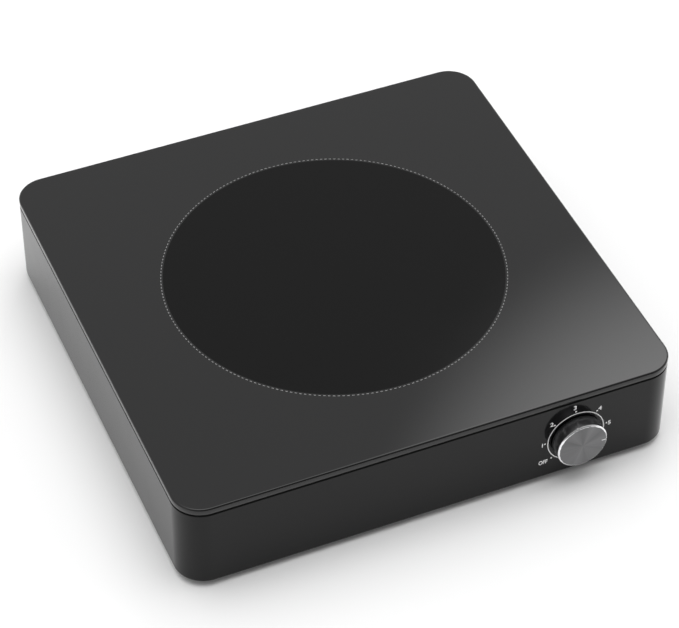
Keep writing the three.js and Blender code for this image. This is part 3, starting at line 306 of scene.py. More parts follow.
def fibre_board():
    finish = Finish("fibre_board", (0.76, 0.72, 0.62), 0.95)
    finish.vary_color(160, (0.66, 0.62, 0.52), (0.82, 0.79, 0.7))
    return finish.bump(finish.noise(1400, 6), 0.0004, 0.7).material


def heater_alloy():
    finish = Finish("heater_alloy", (0.2, 0.18, 0.16), 0.5, 1.0)
    finish.vary_color(420, (0.12, 0.11, 0.1), (0.3, 0.26, 0.22))
    return finish.vary_roughness(600, 0.4, 0.65).material


def steatite():
    finish = Finish("steatite", (0.78, 0.73, 0.6), 0.5)
    finish.vary_color(260, (0.72, 0.67, 0.55), (0.84, 0.8, 0.68))
    return finish.bump(finish.noise(1800, 4), 0.00006, 0.4).material


def brown_phenolic():
    finish = Finish("brown_phenolic", (0.045, 0.02, 0.012), 0.35)
    finish.vary_color(220, (0.03, 0.013, 0.008), (0.065, 0.03, 0.018))
    return finish.vary_roughness(300, 0.25, 0.45).material


def contact_brass():
    finish = Finish("contact_brass", (0.62, 0.45, 0.16), 0.3, 1.0)
    finish.vary_color(500, (0.52, 0.36, 0.12), (0.7, 0.52, 0.22))
    return finish.vary_roughness(400, 0.22, 0.4).material


def spring_steel():
    finish = Finish("spring_steel", (0.4, 0.41, 0.42), 0.22, 1.0)
    finish.vary_color(300, (0.32, 0.33, 0.36), (0.46, 0.46, 0.46))
    return finish.vary_roughness(500, 0.16, 0.3).material


def pale_plastic():
    finish = Finish("pale_plastic", (0.74, 0.74, 0.7), 0.45)
    finish.vary_roughness(300, 0.38, 0.55)
    return finish.bump(finish.noise(2200, 2), 0.00003, 0.3).material


def silicone_sleeve(name, color):
    finish = Finish(name, color, 0.5)
    light = tuple(min(1.0, channel * 1.2) for channel in color)
    finish.vary_color(260, tuple(channel * 0.85 for channel in color), light)
    return finish.bump(finish.noise(1200, 3), 0.00004, 0.4).material


def print_ink(name, level):
    """Screen-printed ink, a little uneven and less glossy than what it lies on."""
    finish = Finish(name, (level, level, level), 0.45)
    finish.vary_color(900, (level * 0.88,) * 3, (min(1.0, level * 1.08),) * 3)
    return finish.vary_roughness(900, 0.38, 0.55).material


# ---- Mesh helpers ---------------------------------------------------------------------------


def new_mesh(name, points, faces, material, smooth_angle=SMOOTH_ANGLE):
    """An object from millimetre points, its normals facing out."""
    mesh = bpy.data.meshes.new(name)
    mesh.from_pydata([Vector(p) * MM for p in points], [], faces)
    mesh.validate()
    work = bmesh.new()
    work.from_mesh(mesh)
    bmesh.ops.remove_doubles(work, verts=work.verts, dist=1e-7)
    bmesh.ops.recalc_face_normals(work, faces=work.faces)
    work.to_mesh(mesh)
    work.free()
    return finish_mesh(name, mesh, material, smooth_angle)


def finish_mesh(name, mesh, material, smooth_angle=SMOOTH_ANGLE):
    mesh.polygons.foreach_set("use_smooth", [True] * len(mesh.polygons))
    mesh.set_sharp_from_angle(angle=math.radians(smooth_angle))
    mesh.materials.clear()
    mesh.materials.append(material)
    piece = bpy.data.objects.new(name, mesh)
    bpy.context.scene.collection.objects.link(piece)
    return piece


def rounded_loop(half_x, half_y, radius, height, steps=12):
    """Points of a rounded rectangle at a height, counter-clockwise from above."""
    points = []
    for corner in range(4):
        start = corner * math.pi / 2
        sign_x = 1 if corner in (0, 3) else -1
        sign_y = 1 if corner in (0, 1) else -1
        centre_x = sign_x * (half_x - radius)
        centre_y = sign_y * (half_y - radius)
        for i in range(steps + 1):
            angle = start + i * math.pi / 2 / steps
            x = centre_x + radius * math.cos(angle)
            y = centre_y + radius * math.sin(angle)
            points.append((x, y, height))
    return points


def circle_loop(centre, radius, y, count=48):
    """A circle square to Y, about the centre's x and z."""
    turns = [i * TAU / count for i in range(count)]
    return [
        (centre.x + radius * math.cos(turn), y, centre.z + radius * math.sin(turn))
        for turn in turns
    ]


def flat_circle_loop(centre, radius, z, count=48):
    """A circle square to Z, about the centre's x and y."""
    turns = [i * TAU / count for i in range(count)]
    return [
        (centre.x + radius * math.cos(turn), centre.y + radius * math.sin(turn), z)
        for turn in turns
    ]


def hexagon_loop(centre, across_flats, y, count=48):
    """A hexagon square to Y with its points spread evenly along the flats."""
    points = []
    for i in range(count):
        angle = i * TAU / count
        off = (angle % (TAU / 6)) - TAU / 12
        radius = across_flats / 2 / math.cos(off)
        points.append((centre.x + radius * math.cos(angle), y, centre.z + radius * math.sin(angle)))
    return points


def loft(name, loops, material, closed=False, smooth_angle=SMOOTH_ANGLE):
    """Skins equal loops in order. closed joins the last to the first; otherwise both ends get a cap."""
    count = len(loops[0])
    points = [p for loop in loops for p in loop]
    faces = []
    spans = len(loops) if closed else len(loops) - 1
    for k in range(spans):
        first = k * count
        second = ((k + 1) % len(loops)) * count
        for i in range(count):
            j = (i + 1) % count
            faces.append((first + i, first + j, second + j, second + i))
    if not closed:
        faces.append(tuple(range(count))[::-1])
        faces.append(tuple(range((len(loops) - 1) * count, len(loops) * count)))
    return new_mesh(name, points, faces, material, smooth_angle)


def box_faces(start):
    """Faces of a box whose eight points begin at start: four below, then four above."""
    below = [start + i for i in range(4)]
    above = [start + 4 + i for i in range(4)]
    sides = [(below[i], below[(i + 1) % 4], above[(i + 1) % 4], above[i]) for i in range(4)]
    return [tuple(below[::-1]), tuple(above), *sides]


def cut_with(piece, cutter):
    """Takes the cutter away from the piece and deletes the cutter."""
    modifier = piece.modifiers.new("cut", "BOOLEAN")
    modifier.operation = "DIFFERENCE"
    modifier.solver = "EXACT"
    modifier.object = cutter
    graph = bpy.context.evaluated_depsgraph_get()
    mesh = bpy.data.meshes.new_from_object(piece.evaluated_get(graph))
    piece.modifiers.clear()
    old = piece.data
    piece.data = mesh
    bpy.data.meshes.remove(old)
    bpy.data.objects.remove(cutter)
    mesh.set_sharp_from_angle(angle=math.radians(SMOOTH_ANGLE))


def joined(name, objects):
    """One object from several."""
    with bpy.context.temp_override(
        active_object=objects[0], selected_editable_objects=objects, selected_objects=objects
    ):
        bpy.ops.object.join()
    objects[0].name = name
    objects[0].data.name = name
    return objects[0]


def settle(piece, body, slot, *replaced):
    """Fixes a finished piece to its body and hides the CAD nodes it stands for; its slot is not used.
    """
    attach(piece, body)
    if replaced:
        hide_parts(*replaced)
    return piece


# ---- Glass top and its prints ---------------------------------------------------------------

GLASS_BEVEL = 0.7
GLASS_LOWER_BEVEL = 0.2
GLASS_SOFTEN = 0.12
GLASS_FLAT = 4
ZONE_RADIUS = 97.8
# Size of the painted reflection: a thin sheet that darkens the zone's mirror image, as a pan's
# reflection would.
PAN_REFLECTION_RADIUS = ZONE_RADIUS - 1.1
PAN_REFLECTION_THICKNESS = 0.014
DASH_COUNT = 236
DASH_SHARE = 0.5
DASH_WIDTH = 0.5
RING_TOP = GLASS_TOP + PRINT_THICKNESS * 0.6
# How far the eased edges of the glass and the shell draw back from the seam, each.
SEAM_EASE = 0.16


def bevel_profile(inset, z_edge, z_flat, size, steps=5):
    """(inset, z) pairs round a quarter from a wall at inset to a flat at z_flat."""
    pairs = []
    sign = 1 if z_flat > z_edge else -1
    for i in range(steps + 1):
        angle = i * math.pi / 2 / steps
        z = z_flat - sign * size * (1 - math.sin(angle))
        pairs.append((inset + size * (1 - math.cos(angle)), z))
    return pairs


def rect_sweep(half_x, half_y, radius, profile, steps=16):
    """Rounded-rectangle loops for each (inset, z) pair of a profile."""
    return [
        rounded_loop(half_x - inset, half_y - inset, max(radius - inset, 1.2), z, steps)
        for inset, z in profile
    ]


def glass_plate():
    """Flat plate with rounded corners and a soft bevel round its top edge."""
    bevel = GLASS_BEVEL
    lower = GLASS_LOWER_BEVEL
    soften = GLASS_SOFTEN
    low = GLASS_LOW.z + SEAM_EASE
    top = GLASS_TOP
    profile = [(GLASS_FLAT, low)] + bevel_profile(0, low + lower, low, lower, 3)[::-1]
    profile += [(0, top - bevel - soften), (soften / 4, top - bevel), (bevel, top - soften / 4)]
    profile += [(bevel + soften, top), (bevel + 0.5, top), (GLASS_FLAT, top)]
    loops = rect_sweep(GLASS_HIGH.x, GLASS_HIGH.y, CORNER_RADIUS, profile, 24)
    plate = loft("glass_top", loops, BLACK_GLASS)
    return settle(plate, "root", "black_glass", "glass_plate")


def pan_reflection_disc():
    """A thin disc inside the dashed ring that mirrors less, a painted reflection: it stands in for the
    dark mirrored image of a pan over the zone.
    """
    low = GLASS_TOP + PRINT_LIFT
    high = low + PAN_REFLECTION_THICKNESS
    loops = [flat_circle_loop(Vector((0, 0, 0)), PAN_REFLECTION_RADIUS, z, 160) for z in (low, high)]
    disc = loft("pan_reflection_disc", loops, PAN_REFLECTION_GLASS)
    return settle(disc, "root", "black_glass")


def zone_ring():
    """Short dashes round the cooking zone."""
    points = []
    faces = []
    step = TAU / DASH_COUNT
    low = GLASS_TOP + PRINT_LIFT
    high = RING_TOP
    for i in range(DASH_COUNT):
        start = (i - DASH_SHARE / 2) * step
        end = (i + DASH_SHARE / 2) * step
        inner = ZONE_RADIUS - DASH_WIDTH / 2
        outer = ZONE_RADIUS + DASH_WIDTH / 2
        corners = [(inner, start), (outer, start), (outer, end), (inner, end)]
        faces += box_faces(len(points))
        for z in (low, high):
            points += [(r * math.cos(a), r * math.sin(a), z) for r, a in corners]
    ring = new_mesh("zone_ring_print", points, faces, PALE_INK)
    return settle(ring, "root", None)


# ---- Housing, seal and base -----------------------------------------------------------------

WALL = 1.2
FLANGE = 15.0
LIP = 9.0
LIP_BOTTOM = 6.8
SHELL_TOP_ROUND = 0.1
SHELL_FOOT_ROUND = 0.5
SEAL_WIDTH = 12.0
VENT_COUNT = 14
VENT_PITCH = 8
VENT_FIRST_X = -98
VENT_Z = 33
VENT_HALF_HEIGHT = 8
SLOT_HALF_WIDTH = 1.5
SHAFT_HOLE = 5.2
GLAND_HOLE = 6.3
BASE_INSET = 1.6
BASE_BEAD = 0.22
BASE_FLAT = 6
AIR_ROWS = (-32, 32)
AIR_SLOT_COUNT = 9
AIR_SLOT_PITCH = 10
AIR_SLOT_HALF_LENGTH = 18
SHELL_RADIUS = CORNER_RADIUS - (GLASS_HIGH.x - SHELL_HIGH.x)


def glass_seal():
    """Silicone bead in the seam, just behind the faces above and below it."""
    half_x = SEAL_HIGH.x
    half_y = SEAL_HIGH.y
    low = SEAL_LOW.z - SEAM_EASE
    high = SEAL_HIGH.z + SEAM_EASE
    middle = (low + high) / 2
    profile = [
        (0.04, low), (0.0, low + 0.15), (0.0, middle), (0.0, high - 0.15), (0.04, high),
        (SEAL_WIDTH, high), (SEAL_WIDTH, low),
    ]
    loops = rect_sweep(half_x, half_y, SHELL_RADIUS - (SHELL_HIGH.x - half_x), profile, 16)
    seal = loft("silicone_seal", loops, SEAL, closed=True)
    return settle(seal, "root", "seal_silicone", "glass_seal")


def slot_cutter(x, y, z, half_width, half_length, depth, upright):
    """A slot with round ends, cut along Y if upright, else along Z."""
    outline = []
    for i in range(16):
        angle = i * TAU / 16 + TAU / 32
        along = half_width * math.sin(angle)
        along += (half_length - half_width) * (1 if along > 0 else -1)
        outline.append((half_width * math.cos(angle), along))
    if upright:
        loops = [[(x + u, y + s * depth, z + v) for u, v in outline] for s in (-1, 1)]
    else:
        loops = [[(x + u, y + v, z + s * depth) for u, v in outline] for s in (-1, 1)]
    return loft("cutter", loops, BLACK_ENAMEL)


def round_cutter(centre, radius, middle, depth, along_y):
    """A round plug through middle, along Y or along Z."""
    if along_y:
        loops = [circle_loop(centre, radius, middle + s * depth, 40) for s in (-1, 1)]
    else:
        loops = [flat_circle_loop(centre, radius, middle + s * depth, 24) for s in (-1, 1)]
    return loft("cutter", loops, BLACK_ENAMEL)


def lip_screws():
    """Centres of the screws that hold the base to the housing's lip."""
    found = []
    for i in range(1, 7):
        low, high = node_box(f"base_screw_{i}")
        found.append((low + high) / 2)
    return found


def housing():
    """Pressed steel shell: rolled bottom edge, flange for the glass, lip for the base."""
    low = SHELL_LOW.z
    high = SHELL_HIGH.z - SEAM_EASE
    top_round = SHELL_TOP_ROUND
    foot_round = SHELL_FOOT_ROUND
    lip_low = LIP_BOTTOM
    profile = bevel_profile(0, low + foot_round, low, foot_round, 4)[::-1]
    profile += [(0, low + foot_round + 0.4), (0, high - top_round - 0.4)]
    profile += bevel_profile(0, high - top_round, high, top_round, 4)
    profile += [(top_round + 0.4, high), (WALL + FLANGE, high), (WALL + FLANGE, high - WALL)]
    profile += [(WALL, high - WALL), (WALL, lip_low + WALL), (WALL + LIP, lip_low + WALL)]
    profile += [(WALL + LIP, lip_low), (WALL, lip_low), (WALL, low + 0.1), (WALL - 0.1, low)]
    loops = rect_sweep(SHELL_HIGH.x, SHELL_HIGH.y, SHELL_RADIUS, profile, 20)
    shell = loft("housing_shell", loops, BLACK_ENAMEL, closed=True)
    cutters = []
    for i in range(VENT_COUNT):
        x = VENT_FIRST_X + i * VENT_PITCH
        cutters.append(slot_cutter(x, BACK_FACE, VENT_Z, SLOT_HALF_WIDTH, VENT_HALF_HEIGHT, 3, True))
    cutters.append(round_cutter(KNOB_CENTRE, SHAFT_HOLE, FRONT_FACE, 3, True))
    cutters.append(round_cutter(GLAND_CENTRE, GLAND_HOLE, BACK_FACE, 3, True))
    places = lip_screws()
    for name in ("strap_screw_left", "strap_screw_right"):
        box_low, box_high = node_box(name)
        places.append((box_low + box_high) / 2)
    for place in places:
        cutters.append(round_cutter(place, SCREW_HOLE, lip_low + WALL / 2, 1.1, False))
    cut_with(shell, joined("cutter", cutters))
    return settle(shell, "root", "black_enamel", "housing")


def base_cover():
    """Sheet under the housing with two rows of air slots and its screw holes."""
    low = BASE_LOW.z
    high = BASE_HIGH.z
    bead = BASE_BEAD
    profile = [(BASE_FLAT, low), (bead, low), (0, low + bead)]
    profile += [(0, high - bead), (bead, high), (BASE_FLAT, high)]
    loops = rect_sweep(BASE_HIGH.x, BASE_HIGH.y, SHELL_RADIUS - BASE_INSET, profile, 14)
    cover = loft("base_sheet", loops, BASE_ENAMEL)
    cutters = []
    middle = (low + high) / 2
    for y in AIR_ROWS:
        for i in range(AIR_SLOT_COUNT):
            x = (i - AIR_SLOT_COUNT // 2) * AIR_SLOT_PITCH
            slot = slot_cutter(x, y, middle, SLOT_HALF_WIDTH, AIR_SLOT_HALF_LENGTH, 2, False)
            cutters.append(slot)
    places = lip_screws()
    names = [f"foot_screw_{side}" for side in CORNERS] + ["block_screw", "earth_screw"]
    for name in names:
        box_low, box_high = node_box(name)
        places.append((box_low + box_high) / 2)
    for place in places:
        cutters.append(round_cutter(place, SCREW_HOLE, middle, 2, False))
    cut_with(cover, joined("cutter", cutters))
    return settle(cover, "root", "black_enamel", "base_cover")


# ---- Feet and screws ------------------------------------------------------------------------

CORNERS = ("front_left", "front_right", "back_left", "back_right")
FOOT_RECESS = 4.4
FOOT_RECESS_DEPTH = 3.4
FOOT_SCREW_HEAD = 3.5
SCREW_HEAD = 3.2
SHANK = 1.45
THREAD_DEPTH = 0.22
THREAD_PITCH = 0.7
DRIVE_DEPTH = 1.2


def rubber_foot(corner):
    """Stepped rubber foot with a recess for its screw."""
    node = f"foot_{corner}"
    low, high = node_box(node)
    centre = (low + high) / 2
    radius = (high.x - low.x) / 2
    top = high.z
    recess = FOOT_RECESS
    step = FOOT_RECESS_DEPTH
    profile = [
        (recess, 0.25), (recess + 0.25, 0), (radius - 1.6, 0), (radius - 1.05, 0.2),
        (radius - 0.8, 0.7), (radius - 0.35, 3.2), (radius, 4.1), (radius, top - 0.2),
        (radius - 0.2, top), (SCREW_HOLE, top), (SCREW_HOLE, step), (recess, step),
    ]
    loops = [flat_circle_loop(centre, r, z, 48) for r, z in profile]
    foot = loft(f"rubber_{node}", loops, RUBBER, closed=True)
    return settle(foot, "root", "black_rubber", node)


def cross_recess(centre, z_face, depth, down):
    """A tapered cross for a screwdriver, opening at z_face."""
    arms = []
    for turn in (0, math.pi / 2):
        loops = []
        for share, half_long, half_wide in ((-0.3, 1.75, 0.42), (1.0, 0.75, 0.26)):
            z = z_face + (1 if down else -1) * depth * share
            loop = []
            for side_u, side_v in ((1, 1), (-1, 1), (-1, -1), (1, -1)):
                u = side_u * half_long
                v = side_v * half_wide
                x = centre.x + u * math.cos(turn) - v * math.sin(turn)
                y = centre.y + u * math.sin(turn) + v * math.cos(turn)
                loop.append((x, y, z))
            loops.append(loop)
        arms.append(loft("cutter", loops, ZINC))
    return arms


def pan_screw(node, head_radius, head_down, material):
    """Pan-head cross-recess screw along Z with a few turns' worth of thread rings."""
    low, high = node_box(node)
    centre = (low + high) / 2
    sign = 1 if head_down else -1
    face = low.z if head_down else high.z
    tip = high.z if head_down else low.z
    length = abs(tip - face)
    head = 2.0 if head_radius == FOOT_SCREW_HEAD else 1.8
    profile = [(0.02, 0.0), (head_radius * 0.62, 0.06), (head_radius * 0.86, 0.34)]
    profile += [(head_radius * 0.97, 0.8), (head_radius, head - 0.35), (head_radius - 0.12, head)]
    profile += [(SHANK, head)]
    depth = head + 0.3
    while depth < length - 1.2:
        profile += [(SHANK - THREAD_DEPTH, depth), (SHANK + 0.02, depth + THREAD_PITCH / 2)]
        depth += THREAD_PITCH
    profile += [(SHANK - 0.2, length - 1.0), (0.02, length)]
    loops = [flat_circle_loop(centre, r, face + sign * d, 28) for r, d in profile]
    screw = loft(f"{node}_fine", loops, material)
    for arm in cross_recess(centre, face, DRIVE_DEPTH, head_down):
        cut_with(screw, arm)
    return screw


def add_screws():
    """Every screw: under the feet, round the base, at the earth point, block and strap."""
    for corner in CORNERS:
        screw = pan_screw(f"foot_screw_{corner}", FOOT_SCREW_HEAD, True, ZINC)
        settle(screw, "root", "zinc_steel", f"foot_screw_{corner}")
    for i in range(1, 7):
        screw = pan_screw(f"base_screw_{i}", SCREW_HEAD, True, ZINC)
        settle(screw, "root", "zinc_steel", f"base_screw_{i}")
    block = pan_screw("block_screw", SCREW_HEAD, True, ZINC)
    settle(block, "root", "zinc_steel", "block_screw")
    earth = pan_screw("earth_screw", SCREW_HEAD, False, BRASS)
    settle(earth, "root", "contact_brass", "earth_screw")
    for side in ("left", "right"):
        screw = pan_screw(f"strap_screw_{side}", SCREW_HEAD, False, ZINC)
        settle(screw, "root", "zinc_steel", f"strap_screw_{side}")


# ---- Knob and dial --------------------------------------------------------------------------

KNOB_SHELL = 1.0
FACE_EDGE = KNOB_RADIUS - 0.74
RIM_DEPTH = 0.95
NUT_ACROSS_FLATS = 14
NUT_BORE = 5.1
HUB_WEB = 2.6
HUB_BOSS = 5.4
HUB_BORE = 3.2
HUB_FLAT = 2.4
DIAL_RADIUS = 16.95
DIAL_STROKE = 0.62
DOT_DISTANCE = 18.75
DOT_RADIUS = 0.55
LABEL_HEIGHT = 3.2
LABEL_CONDENSE = 0.74
LABEL_BOLD = 0.09
POINTER_START = 11.4
POINTER_END = 14.0
POINTER_ANGLE = 90.0
POINTER_HALF_WIDTH = 0.3
POINTER_DEPTH = 0.25


def knob_cap():
    """Turned aluminium cap: flat face, bright chamfer, straight polished side, hollow behind."""
    front = CAP_LOW.y
    back = CAP_HIGH.y
    radius = KNOB_RADIUS
    inner = radius - KNOB_SHELL
    count = 128
    profile = [
        (0.02, front), (4, front), (8, front), (12, front), (FACE_EDGE - 0.15, front),
        (FACE_EDGE, front + 0.03), (radius - 0.1, front + 0.6), (radius, front + 0.74),
        (radius, front + RIM_DEPTH), (radius, back - 0.3), (radius - 0.15, back),
        (inner + 0.1, back), (inner, back - 0.2), (inner, front + KNOB_SHELL),
        (0.02, front + KNOB_SHELL),
    ]
    loops = [circle_loop(KNOB_CENTRE, r, y, count) for r, y in profile]
    cap = loft("knob_shell", loops, SPUN, smooth_angle=24)
    cap.data.materials.append(RIM)
    cap.data.materials.append(SKIRT)
    for polygon in cap.data.polygons:
        corners = [cap.data.vertices[v].co / MM - KNOB_CENTRE for v in polygon.vertices]
        reach = max(math.hypot(c.x, c.z) for c in corners)
        depth = max(c.y for c in corners) + KNOB_CENTRE.y - front
        if reach > FACE_EDGE:
            polygon.material_index = 1 if depth < RIM_DEPTH + 0.05 else 2
    cut_with(cap, pointer_groove())
    return settle(cap, "knob", "brushed_aluminium", "knob_cap")


def dial_point(radius, clock_degrees, y):
    """A point on the dial; degrees run clockwise from straight up, seen from the front."""
    angle = math.radians(90 - clock_degrees)
    return (KNOB_CENTRE.x + radius * math.cos(angle), y, KNOB_CENTRE.z + radius * math.sin(angle))


def pointer_bar(half_width, start, end, low, high):
    """A radial bar on the knob's face at the pointer's angle."""
    angle = math.radians(90 - POINTER_ANGLE)
    along = Vector((math.cos(angle), 0, math.sin(angle)))
    side = Vector((-math.sin(angle), 0, math.cos(angle)))
    centre = Vector((KNOB_CENTRE.x, 0, KNOB_CENTRE.z))
    corners = [(start, -half_width), (end, -half_width), (end, half_width), (start, half_width)]
    points = []
    for y in (low, high):
        for reach, across in corners:
            p = centre + along * reach + side * across
            points.append((p.x, y, p.z))
    return points


def pointer_groove():
    """The cutter for the pointer's groove, which runs out through the rim."""
    half_width = POINTER_HALF_WIDTH + 0.02
    bottom = CAP_LOW.y + POINTER_DEPTH
    points = pointer_bar(half_width, POINTER_START, POINTER_END + 2, CAP_LOW.y - 1, bottom)
    return new_mesh("cutter", points, box_faces(0), SPUN)


def pointer_fill():
    """White paint in the pointer's groove."""
    top = CAP_LOW.y + 0.04
    bottom = CAP_LOW.y + POINTER_DEPTH - 0.005
    points = pointer_bar(POINTER_HALF_WIDTH, POINTER_START + 0.02, POINTER_END - 0.05, top, bottom)
    fill = new_mesh("pointer_paint", points, box_faces(0), WHITE_INK)
    return settle(fill, "knob", None)


def knob_hub():
    """Moulded hub: web and boss, with the flatted bore."""
    front = HUB_LOW.y
    back = HUB_HIGH.y
    outer = (HUB_HIGH.x - HUB_LOW.x) / 2
    profile = [
        (0.02, front), (outer - 0.2, front), (outer, front + 0.2), (outer, front + HUB_WEB - 0.2),
        (outer - 0.2, front + HUB_WEB), (HUB_BOSS + 0.3, front + HUB_WEB),
        (HUB_BOSS, front + HUB_WEB + 0.3), (HUB_BOSS, back - 0.3), (HUB_BOSS - 0.3, back),
        (0.02, back),
    ]
    hub = loft("hub_moulding", [circle_loop(KNOB_CENTRE, r, y, 64) for r, y in profile], PLASTIC)
    outline = []
    limit = math.acos(HUB_FLAT / HUB_BORE)
    for i in range(33):
        angle = limit + (TAU - 2 * limit) * i / 32
        outline.append((HUB_BORE * math.cos(angle), HUB_BORE * math.sin(angle)))
    loops = [
        [(KNOB_CENTRE.x + u, y, KNOB_CENTRE.z + v) for u, v in outline]
        for y in (CAP_LOW.y + 2.1, back + 1)
    ]
    cut_with(hub, loft("cutter", loops, PLASTIC))
    return settle(hub, "knob", "black_plastic", "knob_hub")


def hex_nut(name, low, high, across_flats, bore, centre):
    """Hexagon nut square to Y with chamfered corners."""
    thick = high - low
    cut = min(0.5, thick / 4)
    corner = across_flats / 2
    circle_limit = corner * 1.06

    def clipped(y, limit):
        loop = []
        for x, _, z in hexagon_loop(centre, across_flats, y):
            away = Vector((x - centre.x, z - centre.z))
            if away.length > limit:
                away *= limit / away.length
            loop.append((centre.x + away.x, y, centre.z + away.y))
        return loop

    loops = [
        circle_loop(centre, bore, low), clipped(low, circle_limit), clipped(low + cut, across_flats),
        clipped(high - cut, across_flats), clipped(high, circle_limit), circle_loop(centre, bore, high),
    ]
    return loft(name, loops, ZINC, closed=True)


def dial_print():
    """Ring, dots and labels of the control scale, printed on the front wall."""
    outer_y = FRONT_FACE - PRINT_THICKNESS
    inner_y = FRONT_FACE - PRINT_SINK
    half = DIAL_STROKE / 2
    ring_loops = [
        circle_loop(KNOB_CENTRE, DIAL_RADIUS - half, inner_y, 160),
        circle_loop(KNOB_CENTRE, DIAL_RADIUS + half, inner_y, 160),
        circle_loop(KNOB_CENTRE, DIAL_RADIUS + half, outer_y, 160),
        circle_loop(KNOB_CENTRE, DIAL_RADIUS - half, outer_y, 160),
    ]
    parts = [loft("dial", ring_loops, WHITE_INK, closed=True)]
    for label, dot_clock, clock, distance in DIAL_LABELS:
        at = Vector(dial_point(DOT_DISTANCE, dot_clock, 0))
        dot = [circle_loop(at, DOT_RADIUS, y, 16) for y in (inner_y, outer_y)]
        parts.append(loft("dial", dot, WHITE_INK))
        parts.append(dial_label(label, dial_point(distance, clock, inner_y)))
    dial = joined("dial_print", parts)
    return settle(dial, "root", None)


# Each mark: its label, its dot's angle, and the label's own angle and distance from the axis.
DIAL_LABELS = (
    ("OFF", -131, -126, 23.6),
    ("1", -89, -90.5, 20.2),
    ("2", -46, -47, 20.9),
    ("3", -3, -4.5, 21.9),
    ("4", 40, 41, 21.0),
    ("5", 83, 84.5, 20.5),
)


def dial_label(text, at):
    """A label as a thin solid, upright on the front wall, centred on a point."""
    curve = bpy.data.curves.new("label", "FONT")
    curve.body = text
    curve.size = LABEL_HEIGHT * 1.32
    curve.extrude = (PRINT_THICKNESS - PRINT_SINK) / 2
    curve.offset = LABEL_BOLD
    curve.resolution_u = 6
    source = bpy.data.objects.new("label", curve)
    bpy.context.scene.collection.objects.link(source)
    graph = bpy.context.evaluated_depsgraph_get()
    mesh = bpy.data.meshes.new_from_object(source.evaluated_get(graph))
    bpy.data.objects.remove(source)
    xs = [v.co.x for v in mesh.vertices]
    ys = [v.co.y for v in mesh.vertices]
    middle = Vector(((min(xs) + max(xs)) / 2, (min(ys) + max(ys)) / 2, 0))
    half = (PRINT_THICKNESS - PRINT_SINK) / 2
    stand = Matrix.Rotation(math.pi / 2, 4, "X")
    place = Matrix.Translation((at[0], at[1] - half, at[2]))
    narrow = Matrix.Scale(LABEL_CONDENSE if len(text) > 1 else 1, 4, (1, 0, 0))
    mesh.transform(Matrix.Scale(MM, 4) @ place @ stand @ narrow @ Matrix.Translation(-middle))
    work = bmesh.new()
    work.from_mesh(mesh)
    bmesh.ops.remove_doubles(work, verts=work.verts, dist=1e-7)
    work.to_mesh(mesh)
    work.free()
    return finish_mesh("label", mesh, WHITE_INK)


# ---- Cord gland -----------------------------------------------------------------------------

GLAND_BORE = 3.75
GLAND_SPIGOT = 6.0
GLAND_HEX = 17
GLAND_SEAT = 3.8
GLAND_CLEAR = 6.2
FLUTE_COUNT = 12
FLUTE_DEPTH = 0.55


def cord_gland():
    """Gland body: ribbed spigot through the wall and a hexagonal shoulder outside."""
    inner = GLAND_LOW.y
    outer = GLAND_HIGH.y
    shoulder = BACK_FACE + 0.1
    hex_end = GLAND_CAP_LOW.y - 0.2
    bore = GLAND_BORE
    spigot = GLAND_SPIGOT
    loops = [circle_loop(GLAND_CENTRE, bore, inner), circle_loop(GLAND_CENTRE, spigot - 0.3, inner)]
    y = inner + 0.3
    while y < BACK_FACE - 2:
        loops.append(circle_loop(GLAND_CENTRE, spigot, y))
        loops.append(circle_loop(GLAND_CENTRE, spigot - 0.3, y + 0.5))
        y += 1.0
    loops.append(circle_loop(GLAND_CENTRE, spigot - 0.1, shoulder))
    loops.append(hexagon_loop(GLAND_CENTRE, GLAND_HEX - 0.8, shoulder))
    loops.append(hexagon_loop(GLAND_CENTRE, GLAND_HEX, shoulder + 0.4))
    loops.append(hexagon_loop(GLAND_CENTRE, GLAND_HEX, hex_end - 0.4))
    loops.append(hexagon_loop(GLAND_CENTRE, GLAND_HEX - 0.8, hex_end))
    loops.append(circle_loop(GLAND_CENTRE, spigot, hex_end))
    loops.append(circle_loop(GLAND_CENTRE, spigot, outer))
    loops.append(circle_loop(GLAND_CENTRE, bore, outer))
    gland = loft("gland_body", loops, PLASTIC, closed=True)
    return settle(gland, "root", "black_plastic", "cord_gland")


def gland_cap():
    """Domed cap with gripping flutes round its waist."""
    start = GLAND_CAP_LOW.y
    end = GLAND_CAP_HIGH.y
    radius = (GLAND_CAP_HIGH.x - GLAND_CAP_LOW.x) / 2
    bore = GLAND_BORE
    count = 96

    def fluted(reach, y, depth):
        loop = []
        for i in range(count):
            angle = i * TAU / count
            r = reach - depth * (0.5 + 0.5 * math.cos(FLUTE_COUNT * angle)) ** 3
            x = GLAND_CENTRE.x + r * math.cos(angle)
            loop.append((x, y, GLAND_CENTRE.z + r * math.sin(angle)))
        return loop

    loops = [
        circle_loop(GLAND_CENTRE, GLAND_CLEAR, start, count), fluted(radius - 0.3, start, 0.3),
        fluted(radius, start + 0.3, FLUTE_DEPTH), fluted(radius, end - 2.8, FLUTE_DEPTH),
        fluted(radius - 0.35, end - 1.9, 0.3),
    ]
    for i in range(1, 7):
        angle = i * math.pi / 12
        r = bore + 0.5 + (radius - 0.35 - bore - 0.5) * math.cos(angle)
        loops.append(circle_loop(GLAND_CENTRE, r, end - 1.9 + 1.9 * math.sin(angle), count))
    loops.append(circle_loop(GLAND_CENTRE, bore, end - 0.35, count))
    loops.append(circle_loop(GLAND_CENTRE, bore, start + GLAND_SEAT, count))
    loops.append(circle_loop(GLAND_CENTRE, GLAND_CLEAR, start + GLAND_SEAT, count))
    cap = loft("gland_dome", loops, PLASTIC, closed=True)
    return settle(cap, "root", "black_plastic", "gland_cap")


# ---- CAD pieces that stay -------------------------------------------------------------------


